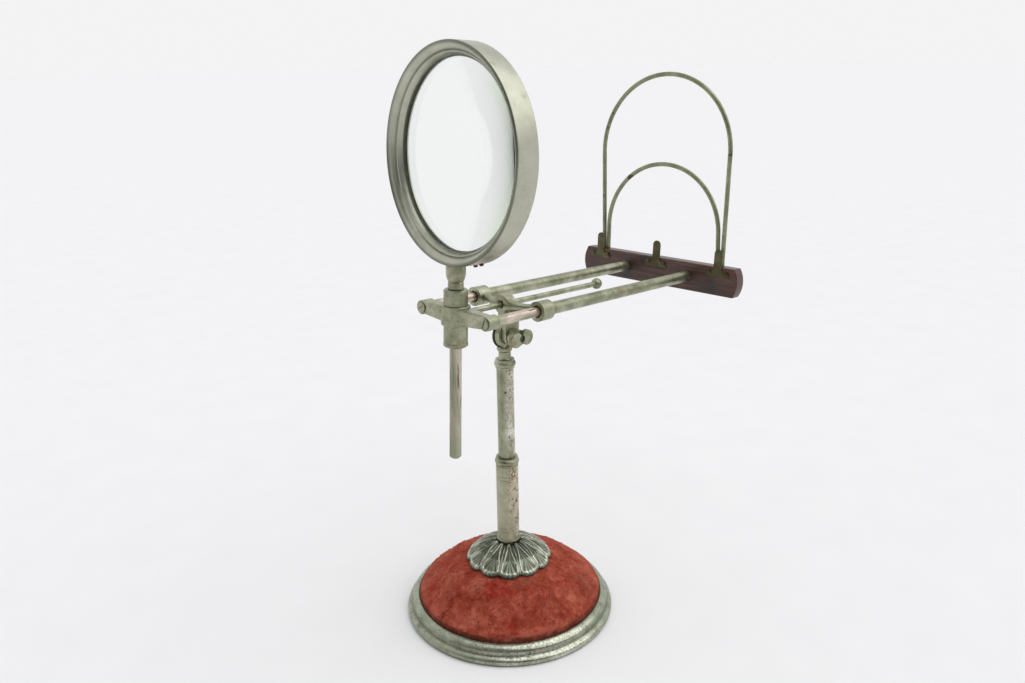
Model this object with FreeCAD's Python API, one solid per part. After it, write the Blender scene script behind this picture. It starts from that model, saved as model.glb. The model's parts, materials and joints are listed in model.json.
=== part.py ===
"""Table magnifier for photographs: a big lens on sliding rails over a weighted velvet foot.

All sizes are in millimetres.  +Z is up, +Y runs from the lens towards the card holder, and +X is to
the right of someone who looks through the lens.  The origin is the centre of the foot's underside.

The upper half is drawn in a frame of its own, with its origin at the tilt hinge, and is then tilted
and lifted onto the column.  The lens and its rim are drawn around the lens axis first.
"""
import FreeCAD, Part
import math
import os

from FreeCAD import Vector

# ---- fits -----------------------------------------------------------------------------------
RUNNING_GAP = 0.08        # radial clearance of a shaft or tube that slides or turns
CLOTH_GAP = 0.3           # between the velvet and what lies against it
FACE_GAP = 0.2            # between faces that slide or turn past each other

# ---- foot -----------------------------------------------------------------------------------
FOOT_RADIUS = 100.0
FOOT_BEAD_RADIUS = 4.4    # rounded bead that stands on the table
FOOT_BEAD_HEIGHT = 3.2    # the bead's centre
FOOT_BEAD_END = 70.0      # degrees up the bead at which the hollow starts
FOOT_HOLLOW = (3.9, 7.9)          # in from the foot's edge, and height
FOOT_ROLL_START = (4.5, 9.0)      # the rounded roll above the hollow, the same way
FOOT_ROLL_MIDDLE = (5.8, 13.9)
FOOT_ROLL_END = (9.4, 16.2)
FOOT_LIP_EDGE = 1.6       # width of the flat lip next to the velvet
FOOT_LIP_DROP = 0.2
FOOT_LIP_HEIGHT = 17.0    # top of the ring, where the velvet starts
FOOT_RIM_WIDTH = 11.4     # from the velvet's edge to the foot's edge
FOOT_LIP_RADIUS = FOOT_RADIUS - FOOT_RIM_WIDTH
FOOT_PLATE_TOP = 12.0     # floor that the core stands on
NUT_POCKET_RADIUS = 18.0
NUT_POCKET_DEPTH = 7.0
BAIZE_INSET = 10.0
BAIZE_RADIUS = FOOT_RADIUS - BAIZE_INSET
BAIZE_THICKNESS = 1.4

# ---- dome -----------------------------------------------------------------------------------
DOME_RISE = 41.0          # height of the velvet above the foot's lip, at the centre
DOME_FULLNESS = 0.7       # exponent of the dome's curve: lower is squarer at the shoulder
DOME_STATIONS = 12        # points that the dome's curve is drawn through
VELVET_THICKNESS = 1.8

# ---- rosette --------------------------------------------------------------------------------
ROSETTE_RADIUS = 42.0
ROSETTE_ABOVE_DOME = 13.3 # its middle stands up like a low cone
ROSETTE_TOP = FOOT_LIP_HEIGHT + DOME_RISE + ROSETTE_ABOVE_DOME
ROSETTE_CROWN_WIDTH = 1.5 # flat ring next to the column
ROSETTE_CROWN_CURVE = 1.6 # exponent of its outline: 1 is a plain cone
ROSETTE_THICKNESS = 2.4
ROSETTE_THINNING = 0.48   # share of the thickness lost at the outer edge
ROSETTE_STATIONS = 14
VELVET_INNER_RADIUS = 29.0    # the velvet ends under the rosette, round a boss on the core
ROSETTE_LOBES = 12
ROSETTE_LOBE_DEPTH = 2.6
ROSETTE_BEVEL = 0.8       # the upper edge is this much smaller in radius
SEAT_RING_WIDTH = 1.0
SEAT_RING_HEIGHT = 2.2
SEAT_RING_ROUND = 0.6

# ---- column ---------------------------------------------------------------------------------
UPPER_TUBE_RADIUS = 7.85
UPPER_TUBE_WALL = 1.2
FRICTION_BUSH_WALL = 1.07
LOWER_TUBE_WALL = 1.5
LOWER_TUBE_RADIUS = UPPER_TUBE_RADIUS + FRICTION_BUSH_WALL + RUNNING_GAP + LOWER_TUBE_WALL
LOWER_TUBE_TOP = 149.5
LINE_DEPTH = 0.35         # turned lines near both ends of the lower tube
LINE_PITCH = 3.4
LINES_PER_END = 2
LINES_FROM_TOP = 13.4     # first line of the upper pair below the tube's top
LINES_FROM_FOOT = 10.8    # first line of the lower pair above the rosette
COLLAR_FOOT_SHARE = 0.18  # plain foot and top of a bead collar, as shares of its height
COLLAR_NECK_SHARE = 0.14
LOWER_COLLAR_BEAD = 0.85  # how far the bead stands out past the tube
LOWER_COLLAR_RADIUS = LOWER_TUBE_RADIUS + LOWER_COLLAR_BEAD
LOWER_COLLAR_HEIGHT = 8.5
LOWER_COLLAR_SKIRT = 6.5
UPPER_TUBE_BOTTOM = 112.0
UPPER_TUBE_TOP = 246.0
BUSH_LENGTH = 12.0        # friction bush at the foot of the upper tube
UPPER_COLLAR_BEAD = 1.95
UPPER_COLLAR_RADIUS = UPPER_TUBE_RADIUS + UPPER_COLLAR_BEAD
UPPER_COLLAR_HEIGHT = 8.3
SOCKET_LENGTH = 27.0      # bush inside the upper tube's top that the head turns in
SPIGOT_RADIUS = 4.6
SPIGOT_END_GAP = 1.0      # spigot's end above the bush's
RIVET_RADIUS = 1.2
RIVET_BELOW_TOP = 21.8
RIVET_BEARING = -46.0     # degrees from +X to the side that the rivet is on
RIVET_SET_IN = 0.15       # the rivet's face below the tube's surface
RIVET_CLEAR = 0.4         # between the rivet's inner end and the spigot
PLUG_LENGTH = 8.0
TIE_ROD_RADIUS = 4.0
NUT_ACROSS_FLATS = 13.0
NUT_THICKNESS = 5.0
WASHER_RADIUS = 14.0
WASHER_THICKNESS = 1.6

# ---- tilting head ---------------------------------------------------------------------------
HINGE_ABOVE_COLUMN = 23.1
HINGE_HEIGHT = UPPER_TUBE_TOP + UPPER_COLLAR_HEIGHT + HINGE_ABOVE_COLUMN
TILT_AT_REST = -3.1       # degrees about +X: the card end hangs a little low
NECK_RADIUS = 5.6
HEAD_BEAD_RADIUS = 7.1
HEAD_BEAD_HEIGHT = 6.0
HEAD_BEAD_RISE = 1.6      # top of the bead above the bottom of the disc
NECK_FLANGE = 0.6         # foot of the neck beyond the neck's radius, and its height
NECK_FLANGE_HEIGHT = 1.2
LUG_RADIUS = 11.6         # the head's disc
LUG_THICKNESS = 5.8
LUG_START = -1.2          # where the disc begins along X
FRICTION_RADIUS = 12.5    # black leather washer
FRICTION_THICKNESS = 1.5
PIVOT_RADIUS = 3.0
PIVOT_HEAD_RADIUS = 5.5
PIVOT_HEAD_THICKNESS = 3.0
PIVOT_HEAD_BEVEL = 0.9
PIVOT_END_INSET = 1.0     # end of the bolt below the thumb nut's face
NUT_BOSS_RADIUS = 7.4     # thumb nut
NUT_BOSS_LENGTH = 8.0
NUT_WING_RADIUS = 6.8
NUT_WING_OFFSET = 6.7
NUT_WING_THICKNESS = 4.0
NUT_WING_RUN_IN = 0.5     # the boss runs this far into the wings

# ---- yoke and rails -------------------------------------------------------------------------
RAIL_HEIGHT = 27.7        # rails above the hinge
RAIL_HALF_SPACING = 38.7
TONGUE_THICKNESS = 5.3
TONGUE_HALF_WIDTH = 8.3
YOKE_FRONT = -0.8
INNER_ROD_RADIUS = 4.4
OUTER_TUBE_WALL = 1.07
OUTER_TUBE_RADIUS = INNER_ROD_RADIUS + RUNNING_GAP + OUTER_TUBE_WALL
COLLAR_WALL = 3.25
COLLAR_RADIUS = OUTER_TUBE_RADIUS + COLLAR_WALL
COLLAR_LENGTH = 14.0
COLLAR_MOUTH = 2.6        # depth of the mouth around the inner rod
COLLAR_MOUTH_GAP = 1.1
COLLAR_SHOULDER = 0.45    # share of the collar's length at which the outer tube starts
HUB_RADIUS = 8.6
HUB_FRONT = -4.6
HUB_BACK = 5.6
HUB_END_INSET = 0.6       # the web below the hub is this much shorter at each end
TONGUE_SHOULDER = 17.0    # above the hinge: the tongue narrows from here up to the hub
TONGUE_TOP = 25.0
HUB_MOUTH = 1.6
HUB_MOUTH_GAP = 1.0
WEB_CLEAR = 1.4           # between the friction washer and the web above it
ARM_WAIST_HEIGHT = 7.6
ARM_WAIST_DEPTH = 8.4
ARM_WAIST_FROM = 0.42     # the waist lies between these shares of the arm's length
ARM_WAIST_TO = 0.72
INNER_ROD_BACK = 150.0
FOCUS_ROD_RADIUS = 2.6
FOCUS_BALL_RADIUS = 5.4
FOCUS_BALL_Y = 130.4
TUBE_SOCKET_DEPTH = 9.5   # how far the rails go into the wooden bar
RAIL_SCREW_HEAD_RADIUS = 4.2
RAIL_SCREW_HEAD_HEIGHT = 1.8
RAIL_SCREW_GRIP = 6.0     # thread inside the end of the rail
RAIL_END_WALL = 8.0       # solid end of the rail that the screw grips
SCREW_PILOT_SHARE = 0.5   # shank radius of the small screws as a share of the head's

# ---- card bar -------------------------------------------------------------------------------
BAR_FRONT = 232.4
BAR_THICKNESS = 13.0
BAR_HEIGHT = 29.4
BAR_TOP = 14.7            # above the rail axis
BAR_HALF_LENGTH = 97.5
BAR_END_BOW = 4.4
BAR_EDGE_ROUND = 0.9
CLIP_FROM_END = 22.9      # middle of an outer clip to the bar's end
CLIP_SPACING = BAR_HALF_LENGTH - CLIP_FROM_END
CLIP_SHEET = 1.0
CLIP_TAB_WIDTH = 9.0
CLIP_TAB_RISE = 17.8      # above the bar's top
CLIP_FOOT_WIDTH = 25.5
CLIP_FOOT_HEIGHT = 9.8
CLIP_SHOULDER = 3.5
CLIP_SCREW_SPACING = 19.4
CLIP_SCREW_DROP = 6.0     # below the bar's top
CLIP_SCREW_RADIUS = 2.3
CLIP_SCREW_LENGTH = 7.0
CLIP_SCREW_HEIGHT = 1.3
CLIP_FOOT_DROP = 1.0      # top of the clip's foot below the bar's top
WIRE_RADIUS = 2.25
WIRE_BEHIND_FRONT = 7.1
WIRE_SOCKET_DEPTH = 9.0
WIRE_STRAIGHT = 2.6       # the wire stands square to the bar for this length above it
TALL_FROM_END = 22.4      # foot of the tall wire to the bar's end
TALL_HALF_SPAN = BAR_HALF_LENGTH - TALL_FROM_END
TALL_APEX = 187.2
TALL_ARC_WIDENING = 2.4   # the wire's round top is this much wider than its feet on each side
TALL_ARC_RADIUS = TALL_HALF_SPAN + TALL_ARC_WIDENING
TALL_LEAN = -4.0          # the tall wire has been bent a little to the left
SMALL_FROM_END = 27.8
SMALL_HALF_SPAN = BAR_HALF_LENGTH - SMALL_FROM_END
SMALL_APEX = 97.0
SMALL_ARC_NARROWING = 0.7
SMALL_ARC_RADIUS = SMALL_HALF_SPAN - SMALL_ARC_NARROWING
SMALL_LEAN = -1.2

# ---- lens carriage --------------------------------------------------------------------------
POST_REACH = 58.9         # lens post in front of the hinge
BOSS_SIDE_WALL = 1.8
BOSS_RADIUS = INNER_ROD_RADIUS + BOSS_SIDE_WALL
BOSS_FRONT = 4.2          # bosses' faces in front of the post's axis
BOSS_LENGTH = 11.5
LENS_POST_RADIUS = 5.2
SLEEVE_WALL = 5.1
SLEEVE_RADIUS = LENS_POST_RADIUS + SLEEVE_WALL
BAND_WALL = 2.1
BAND_RADIUS = SLEEVE_RADIUS + BAND_WALL
BAND_TOP = 8.4
BAND_BOTTOM = -8.2
ARM_ROOT_HALF_HEIGHT = 7.2
ARM_ROOT_HALF_DEPTH = 8.0
BOSS_SCREW_RADIUS = 4.6
BOSS_SCREW_HEAD_HEIGHT = 1.6
BOSS_SCREW_SHANK = 2.2
BOSS_SCREW_LENGTH = 14.0
BOSS_WALL = 3.0           # front wall of a boss, ahead of the inner rod's end
ARM_EDGE_ROUND = 1.8
BAND_EDGE_ROUND = 0.7
SLEEVE_TOP = 22.0
SLEEVE_BOTTOM = -27.5
SLEEVE_FOOT_BEAD = 0.3
SLEEVE_BEAD_HEIGHT = 2.0
SLEEVE_FOOT_BEVEL = 1.2
SLEEVE_TOP_BEVEL = 1.0
SET_SCREW_RADIUS = 1.7
SET_SCREW_BEARING = -100.0
SET_SCREW_DROP = 2.5      # below the rail axis
SET_SCREW_SET_IN = 0.5
LENS_POST_BOTTOM = -128.5
LENS_POST_RISE = 11.0     # top of the post above the sleeve, inside the neck
LENS_POST_BEVEL = 1.2

# ---- lens head ------------------------------------------------------------------------------
LENS_TURN_AT_REST = -6.3  # degrees about the post
GLASS_RADIUS = 80.4
GLASS_EDGE = 3.0
GLASS_BULGE = 7.0
GLASS_SEAT_WIDTH = 4.2    # retaining ring between the glass's edge and the rim's wall
RIM_WALL = 3.1
RIM_RADIUS = GLASS_RADIUS + GLASS_SEAT_WIDTH + RIM_WALL
RIM_DEPTH = 21.3
NECK_LENGTH = 20.2        # from the sleeve up to the rim
LENS_HEIGHT = SLEEVE_TOP + NECK_LENGTH + RIM_RADIUS       # lens axis above the rail axis
BEZEL_OVERLAP = 4.6       # bezel over the glass's edge
BEZEL_INNER_RADIUS = GLASS_RADIUS - BEZEL_OVERLAP
BEZEL_DEPTH = 10.8        # inner edge of the bezel behind the rim's front
BEZEL_LIP = 2.2
RIM_BEAD = 1.8            # rounded front edge
RIM_BEAD_STEP = 1.4
RIM_BEAD_DROP = 1.3
COVE_WIDTH = 4.6          # hollow behind the front edge
COVE_DEPTH = 4.3
COVE_STEP = 1.3
COVE_STEP_DROP = 0.3
RIM_BACK_ROUND = 1.0
RIM_BACK_BEVEL = 0.8
SEAT_GAP = 0.1            # between the glass and the lip or the ring
RING_OVERLAP = 3.8
RING_INNER_RADIUS = GLASS_RADIUS - RING_OVERLAP
RING_THICKNESS = 3.0
NECK_RING_WALL = 1.5
NECK_RING_RADIUS = LENS_POST_RADIUS + NECK_RING_WALL
NECK_RING_HEIGHT = 5.2
NECK_RING_BEVEL = 0.5
NECK_CUP_FLARE = 1.7
NECK_CUP_RADIUS = NECK_RING_RADIUS + NECK_CUP_FLARE
NECK_CUP_START = 6.0
NECK_CUP_FULL = 13.0
NECK_INTO_RIM = 2.0
RIM_SCREW_RADIUS = 1.9
RIM_SCREW_HEIGHT = 1.8
RIM_SCREW_GRIP = RIM_WALL + 1.5
RIM_SCREW_ANGLES = (13.0, 18.2)   # degrees from straight down, towards +X
RIM_SCREW_Y = 2.0

X_AXIS = Vector(1, 0, 0)
Y_AXIS = Vector(0, 1, 0)
Z_AXIS = Vector(0, 0, 1)
HINGE = Vector(0, 0, HINGE_HEIGHT)


# ---- helpers --------------------------------------------------------------------------------
def closed_face(start, *steps, to_point):
    """Flat face inside a closed outline.  A step is an end point, or (middle, end) for an arc."""
    edges = []
    here = start
    for step in steps + (start,):
        is_arc = isinstance(step[0], tuple)
        end = step[1] if is_arc else step
        if is_arc:
            arc = Part.Arc(to_point(here), to_point(step[0]), to_point(end))
            edges.append(arc.toShape())
        elif end != here:
            edges.append(Part.makeLine(to_point(here), to_point(end)))
        here = end
    return Part.Face(Part.Wire(edges))


def turned(start, *steps):
    """Solid of revolution about Z from an outline of (radius, height) points."""
    face = closed_face(start, *steps, to_point=lambda p: Vector(p[0], 0, p[1]))
    return solid_of(face.revolve(Vector(), Z_AXIS, 360))


def turned_about_y(start, *steps):
    """Solid of revolution about Y from an outline of (radius, y) points."""
    face = closed_face(start, *steps, to_point=lambda p: Vector(p[0], p[1], 0))
    return solid_of(face.revolve(Vector(), Y_AXIS, 360))


def plate(start, *steps, low, high):
    """Plate parallel to XZ between two y values, from an outline of (x, z) points."""
    face = closed_face(start, *steps, to_point=lambda p: Vector(p[0], low, p[1]))
    return solid_of(face.extrude(Vector(0, high - low, 0)))


def slab(start, *steps, low, high):
    """Slab parallel to XY between two z values, from an outline of (x, y) points."""
    face = closed_face(start, *steps, to_point=lambda p: Vector(p[0], p[1], low))
    return solid_of(face.extrude(Vector(0, 0, high - low)))


def solid_of(shape):
    """The same shape as a valid solid with its volume counted as positive."""
    solid = shape if shape.ShapeType == "Solid" else shape.Solids[0]
    if solid.Volume < 0:
        solid.reverse()
    return solid


def rod(radius, start, end):
    """Round rod from one point to another."""
    run = end - start
    return Part.makeCylinder(radius, run.Length, start, run)


def tube(outer, inner, low, high):
    """Upright tube about Z."""
    return turned((inner, low), (outer, low), (outer, high), (inner, high))


def box(x_range, y_range, z_range):
    """Box from the low and high value on each axis."""
    size = [high - low for low, high in (x_range, y_range, z_range)]
    return Part.makeBox(*size, Vector(x_range[0], y_range[0], z_range[0]))


def joined(*shapes):
    """One solid from shapes that overlap or touch."""
    result = shapes[0].fuse(list(shapes[1:])).removeSplitter()
    return result if len(result.Solids) > 1 else solid_of(result)


def rounded_edges(shape, radius, wanted):
    """Shape with the edges that pass the wanted() test rounded."""
    return shape.makeFillet(radius, [edge for edge in shape.Edges if wanted(edge)])


def screw_with_slot(head_radius, head_height, shank_radius, shank_length):
    """Round-head screw along +Z: head above z = 0, shank below, slot along X."""
    crown = head_height * 0.45
    body = turned((0, -shank_length), (shank_radius, -shank_length), (shank_radius, 0),
                  (head_radius, 0), (head_radius, head_height - crown),
                  ((head_radius * 0.72, head_height - crown * 0.35), (0, head_height)))
    slot = box((-head_radius * 1.2, head_radius * 1.2), (-head_radius * 0.13, head_radius * 0.13),
               (head_height * 0.5, head_height * 2))
    return solid_of(body.cut(slot))


def aimed(shape, direction, place, roll=0.0):
    """Shape drawn along +Z, rolled about it, turned to a direction and moved to a place."""
    result = shape.copy()
    result.rotate(Vector(), Z_AXIS, roll)
    turn = FreeCAD.Rotation(Z_AXIS, direction)
    result.Placement = FreeCAD.Placement(place, turn).multiply(result.Placement)
    return result


def moved(shape, x=0.0, y=0.0, z=0.0):
    result = shape.copy()
    result.translate(Vector(x, y, z))
    return result


# ---- foot and dome --------------------------------------------------------------------------
TUBE_HOLE = LOWER_TUBE_RADIUS + CLOTH_GAP
ROSETTE_CROWN_RADIUS = LOWER_TUBE_RADIUS + ROSETTE_CROWN_WIDTH
SEAT_RING_RADIUS = LOWER_TUBE_RADIUS + SEAT_RING_WIDTH
DOME_EDGE_RADIUS = FOOT_LIP_RADIUS - FACE_GAP
DOME_TOP = FOOT_LIP_HEIGHT + DOME_RISE


def dome_height(radius, inset=0.0):
    """Height of the dome's surface at a radius, or of the surface at an inset below it."""
    share = min(radius / (DOME_EDGE_RADIUS - inset), 1.0)
    return FOOT_LIP_HEIGHT - inset + DOME_RISE * (1 - share ** 2) ** DOME_FULLNESS


def dome_curve(inset, inner_radius, outer_radius=None, lift=0.0):
    """Curve over the dome from an inner radius to an outer one, as one smooth edge."""
    outer_radius = outer_radius or DOME_EDGE_RADIUS - inset
    points = []
    for station in range(DOME_STATIONS + 1):
        sweep = math.sin(math.pi / 2 * station / DOME_STATIONS)
        radius = inner_radius + (outer_radius - inner_radius) * sweep
        points.append(Vector(radius, 0, dome_height(radius, inset) + lift))
    curve = Part.BSplineCurve()
    curve.interpolate(points)
    return curve.toShape(), points[0], points[-1]


def spun(edges):
    """Solid of revolution about Z from loose edges in the XZ plane that close an outline."""
    wire = Part.Wire(Part.__sortEdges__(edges))
    return solid_of(Part.Face(wire).revolve(Vector(), Z_AXIS, 360))


def foot_ring():
    """Turned ring with a bead at the table, a hollow, a rounded roll and a narrow flat lip."""
    bead_centre = FOOT_RADIUS - FOOT_BEAD_RADIUS
    bead_foot = bead_centre + math.sqrt(FOOT_BEAD_RADIUS ** 2 - FOOT_BEAD_HEIGHT ** 2)
    end_angle = math.radians(FOOT_BEAD_END)
    bead_end = (bead_centre + FOOT_BEAD_RADIUS * math.cos(end_angle),
                FOOT_BEAD_HEIGHT + FOOT_BEAD_RADIUS * math.sin(end_angle))
    hollow, roll_start, roll_middle, roll_end = [
        (FOOT_RADIUS - inward, height)
        for inward, height in (FOOT_HOLLOW, FOOT_ROLL_START, FOOT_ROLL_MIDDLE, FOOT_ROLL_END)]
    casting = turned(
        (TIE_ROD_RADIUS, 0), (bead_foot, 0), ((FOOT_RADIUS, FOOT_BEAD_HEIGHT), bead_end),
        (hollow, roll_start), (roll_middle, roll_end),
        (FOOT_LIP_RADIUS + FOOT_LIP_EDGE, FOOT_LIP_HEIGHT - FOOT_LIP_DROP),
        (FOOT_LIP_RADIUS, FOOT_LIP_HEIGHT),
        (FOOT_LIP_RADIUS, FOOT_PLATE_TOP), (TIE_ROD_RADIUS, FOOT_PLATE_TOP))
    recess = Part.makeCylinder(BAIZE_RADIUS, BAIZE_THICKNESS)
    pocket = Part.makeCylinder(NUT_POCKET_RADIUS, BAIZE_THICKNESS + NUT_POCKET_DEPTH)
    return solid_of(casting.cut(recess.fuse(pocket)))


def baize_pad():
    return Part.makeCylinder(BAIZE_RADIUS, BAIZE_THICKNESS)


def rosette_height(radius, drop=0.0):
    """Height of the rosette's upper side, or of a surface under it that thins towards the edge."""
    share = max(radius - ROSETTE_CROWN_RADIUS, 0) / (ROSETTE_RADIUS - ROSETTE_CROWN_RADIUS)
    fall = ROSETTE_TOP - dome_height(ROSETTE_RADIUS) - CLOTH_GAP
    fall -= ROSETTE_THICKNESS * (1 - ROSETTE_THINNING)
    return (ROSETTE_TOP - fall * share ** ROSETTE_CROWN_CURVE
            - drop * (1 - ROSETTE_THINNING * share ** 6))


def rosette_curve(outer_radius, drop, lower=0.0):
    """Curve over the rosette as one smooth edge, from the tube outwards."""
    points = []
    for station in range(ROSETTE_STATIONS + 1):
        radius = TUBE_HOLE + (outer_radius - TUBE_HOLE) * station / ROSETTE_STATIONS
        points.append(Vector(radius, 0, rosette_height(radius, drop) - lower))
    curve = Part.BSplineCurve()
    curve.interpolate(points)
    return curve.toShape(), points[0], points[-1]


def dome_core():
    """Turned wooden dome with a boss that fills the rosette."""
    inset = VELVET_THICKNESS + CLOTH_GAP
    boss_radius = VELVET_INNER_RADIUS - CLOTH_GAP
    crown, inner, outer = dome_curve(inset, boss_radius)
    boss, boss_inner, boss_outer = rosette_curve(boss_radius, ROSETTE_THICKNESS, CLOTH_GAP)
    floor_inner = Vector(TUBE_HOLE, 0, FOOT_PLATE_TOP)
    floor_outer = Vector(outer.x, 0, FOOT_PLATE_TOP)
    return spun([crown, Part.makeLine(outer, floor_outer), Part.makeLine(floor_outer, floor_inner),
                 Part.makeLine(floor_inner, boss_inner), boss, Part.makeLine(boss_outer, inner)])


def velvet_cover():
    over, over_inner, over_outer = dome_curve(0.0, VELVET_INNER_RADIUS)
    under, under_inner, under_outer = dome_curve(VELVET_THICKNESS, VELVET_INNER_RADIUS)
    return spun([over, under, Part.makeLine(over_inner, under_inner),
                 Part.makeLine(over_outer, under_outer)])


def rosette():
    """Low cone with a scalloped edge."""
    under, under_inner, under_outer = rosette_curve(ROSETTE_RADIUS, ROSETTE_THICKNESS)
    over, over_inner, over_outer = rosette_curve(ROSETTE_RADIUS - ROSETTE_BEVEL, 0.0)
    shell = spun([over, under, Part.makeLine(over_inner, under_inner),
                  Part.makeLine(over_outer, under_outer)])
    pitch = 2 * math.pi / ROSETTE_LOBES
    valley = ROSETTE_RADIUS - ROSETTE_LOBE_DEPTH
    steps = []
    for lobe in range(ROSETTE_LOBES):
        crest = (lobe + 0.5) * pitch
        end = (lobe + 1) * pitch
        steps.append(((ROSETTE_RADIUS * math.cos(crest), ROSETTE_RADIUS * math.sin(crest)),
                      (valley * math.cos(end), valley * math.sin(end))))
    steps[-1] = (steps[-1][0], (valley, 0.0))
    cutter = slab((valley, 0.0), *steps, low=FOOT_LIP_HEIGHT, high=ROSETTE_TOP + ROSETTE_THICKNESS)
    return solid_of(shell.common(cutter))


SEAT_RING_BOTTOM = ROSETTE_TOP + FACE_GAP


def seat_ring():
    top = SEAT_RING_BOTTOM + SEAT_RING_HEIGHT
    middle = SEAT_RING_BOTTOM + SEAT_RING_HEIGHT / 2
    shoulder = SEAT_RING_RADIUS - SEAT_RING_ROUND
    low = SEAT_RING_BOTTOM
    return turned((LOWER_TUBE_RADIUS, low), (shoulder, low),
                  ((SEAT_RING_RADIUS, middle), (shoulder, top)), (LOWER_TUBE_RADIUS, top))


# ---- column ---------------------------------------------------------------------------------
LOWER_TUBE_BORE = LOWER_TUBE_RADIUS - LOWER_TUBE_WALL
COLLAR_BORE = UPPER_TUBE_RADIUS + RUNNING_GAP
LOWER_COLLAR_TOP = LOWER_TUBE_TOP + LOWER_COLLAR_HEIGHT
UPPER_TUBE_BORE = UPPER_TUBE_RADIUS - UPPER_TUBE_WALL
HEAD_SEAT = UPPER_TUBE_TOP + UPPER_COLLAR_HEIGHT


def lower_tube():
    body = tube(LOWER_TUBE_RADIUS, LOWER_TUBE_BORE, FOOT_PLATE_TOP, LOWER_TUBE_TOP)
    first_lines = (ROSETTE_TOP + LINES_FROM_FOOT, LOWER_TUBE_TOP - LINES_FROM_TOP)
    grooves = []
    for start in first_lines:
        for line in range(LINES_PER_END):
            low = start + line * LINE_PITCH
            grooves.append(turned((LOWER_TUBE_RADIUS - LINE_DEPTH, low + LINE_DEPTH),
                                  (LOWER_TUBE_RADIUS + LINE_DEPTH, low - LINE_DEPTH),
                                  (LOWER_TUBE_RADIUS + LINE_DEPTH, low + 3 * LINE_DEPTH)))
    return solid_of(body.cut(grooves))


def bead_collar(bore, radius, low, height):
    """Turned collar with a plain foot, a round bead and a plain top."""
    foot = height * COLLAR_FOOT_SHARE
    neck = radius - height * COLLAR_NECK_SHARE
    return turned((bore, low), (neck, low), (neck, low + foot),
                  ((radius, low + height / 2), (neck, low + height - foot)),
                  (neck, low + height), (bore, low + height))


def lower_collar():
    bead = bead_collar(COLLAR_BORE, LOWER_COLLAR_RADIUS, LOWER_TUBE_TOP, LOWER_COLLAR_HEIGHT)
    skirt = tube(LOWER_TUBE_BORE, COLLAR_BORE, LOWER_TUBE_TOP - LOWER_COLLAR_SKIRT, LOWER_TUBE_TOP)
    return joined(bead, skirt)


def tube_plug():
    low = FOOT_PLATE_TOP
    return tube(LOWER_TUBE_BORE, TIE_ROD_RADIUS, low, low + PLUG_LENGTH)


POCKET_ROOF = BAIZE_THICKNESS + NUT_POCKET_DEPTH


def tie_rod():
    return rod(TIE_ROD_RADIUS, Vector(0, 0, POCKET_ROOF - WASHER_THICKNESS - NUT_THICKNESS),
               Vector(0, 0, FOOT_PLATE_TOP + PLUG_LENGTH))


def base_washer():
    return tube(WASHER_RADIUS, TIE_ROD_RADIUS, POCKET_ROOF - WASHER_THICKNESS, POCKET_ROOF)


def base_nut():
    top = POCKET_ROOF - WASHER_THICKNESS
    corner = NUT_ACROSS_FLATS / math.sqrt(3)
    corners = []
    for side in range(6):
        angle = math.radians(60 * side)
        corners.append((corner * math.cos(angle), corner * math.sin(angle)))
    hexagon = slab(*corners, low=top - NUT_THICKNESS, high=top)
    return solid_of(hexagon.cut(Part.makeCylinder(TIE_ROD_RADIUS, top)))


RIVET_PLACE = UPPER_TUBE_TOP - RIVET_BELOW_TOP
RIVET_DIRECTION = Vector(math.cos(math.radians(RIVET_BEARING)),
                         math.sin(math.radians(RIVET_BEARING)), 0)
RIVET_START = (Z_AXIS * RIVET_PLACE
               + RIVET_DIRECTION * (SPIGOT_RADIUS + RUNNING_GAP + RIVET_CLEAR))


def tube_rivet():
    end = Z_AXIS * RIVET_PLACE + RIVET_DIRECTION * (UPPER_TUBE_RADIUS - RIVET_SET_IN)
    return rod(RIVET_RADIUS, RIVET_START, end)


def rivet_hole():
    return rod(RIVET_RADIUS, RIVET_START, RIVET_START + RIVET_DIRECTION * UPPER_TUBE_RADIUS)


def upper_tube():
    body = tube(UPPER_TUBE_RADIUS, UPPER_TUBE_BORE, UPPER_TUBE_BOTTOM, UPPER_TUBE_TOP)
    return solid_of(body.cut(rivet_hole()))


def friction_bush():
    return tube(LOWER_TUBE_BORE - RUNNING_GAP, UPPER_TUBE_RADIUS, UPPER_TUBE_BOTTOM,
                UPPER_TUBE_BOTTOM + BUSH_LENGTH)


def socket_bush():
    body = tube(UPPER_TUBE_BORE, SPIGOT_RADIUS + RUNNING_GAP, UPPER_TUBE_TOP - SOCKET_LENGTH,
                UPPER_TUBE_TOP)
    return solid_of(body.cut(rivet_hole()))


def upper_collar():
    return bead_collar(SPIGOT_RADIUS + RUNNING_GAP, UPPER_COLLAR_RADIUS, UPPER_TUBE_TOP,
                       UPPER_COLLAR_HEIGHT)


# ---- tilting head, in the hinge's frame -----------------------------------------------------
LUG_END = LUG_START + LUG_THICKNESS
TONGUE_START = LUG_END + FACE_GAP
TONGUE_END = TONGUE_START + TONGUE_THICKNESS
WING_START = TONGUE_END + FACE_GAP + NUT_BOSS_LENGTH


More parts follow.
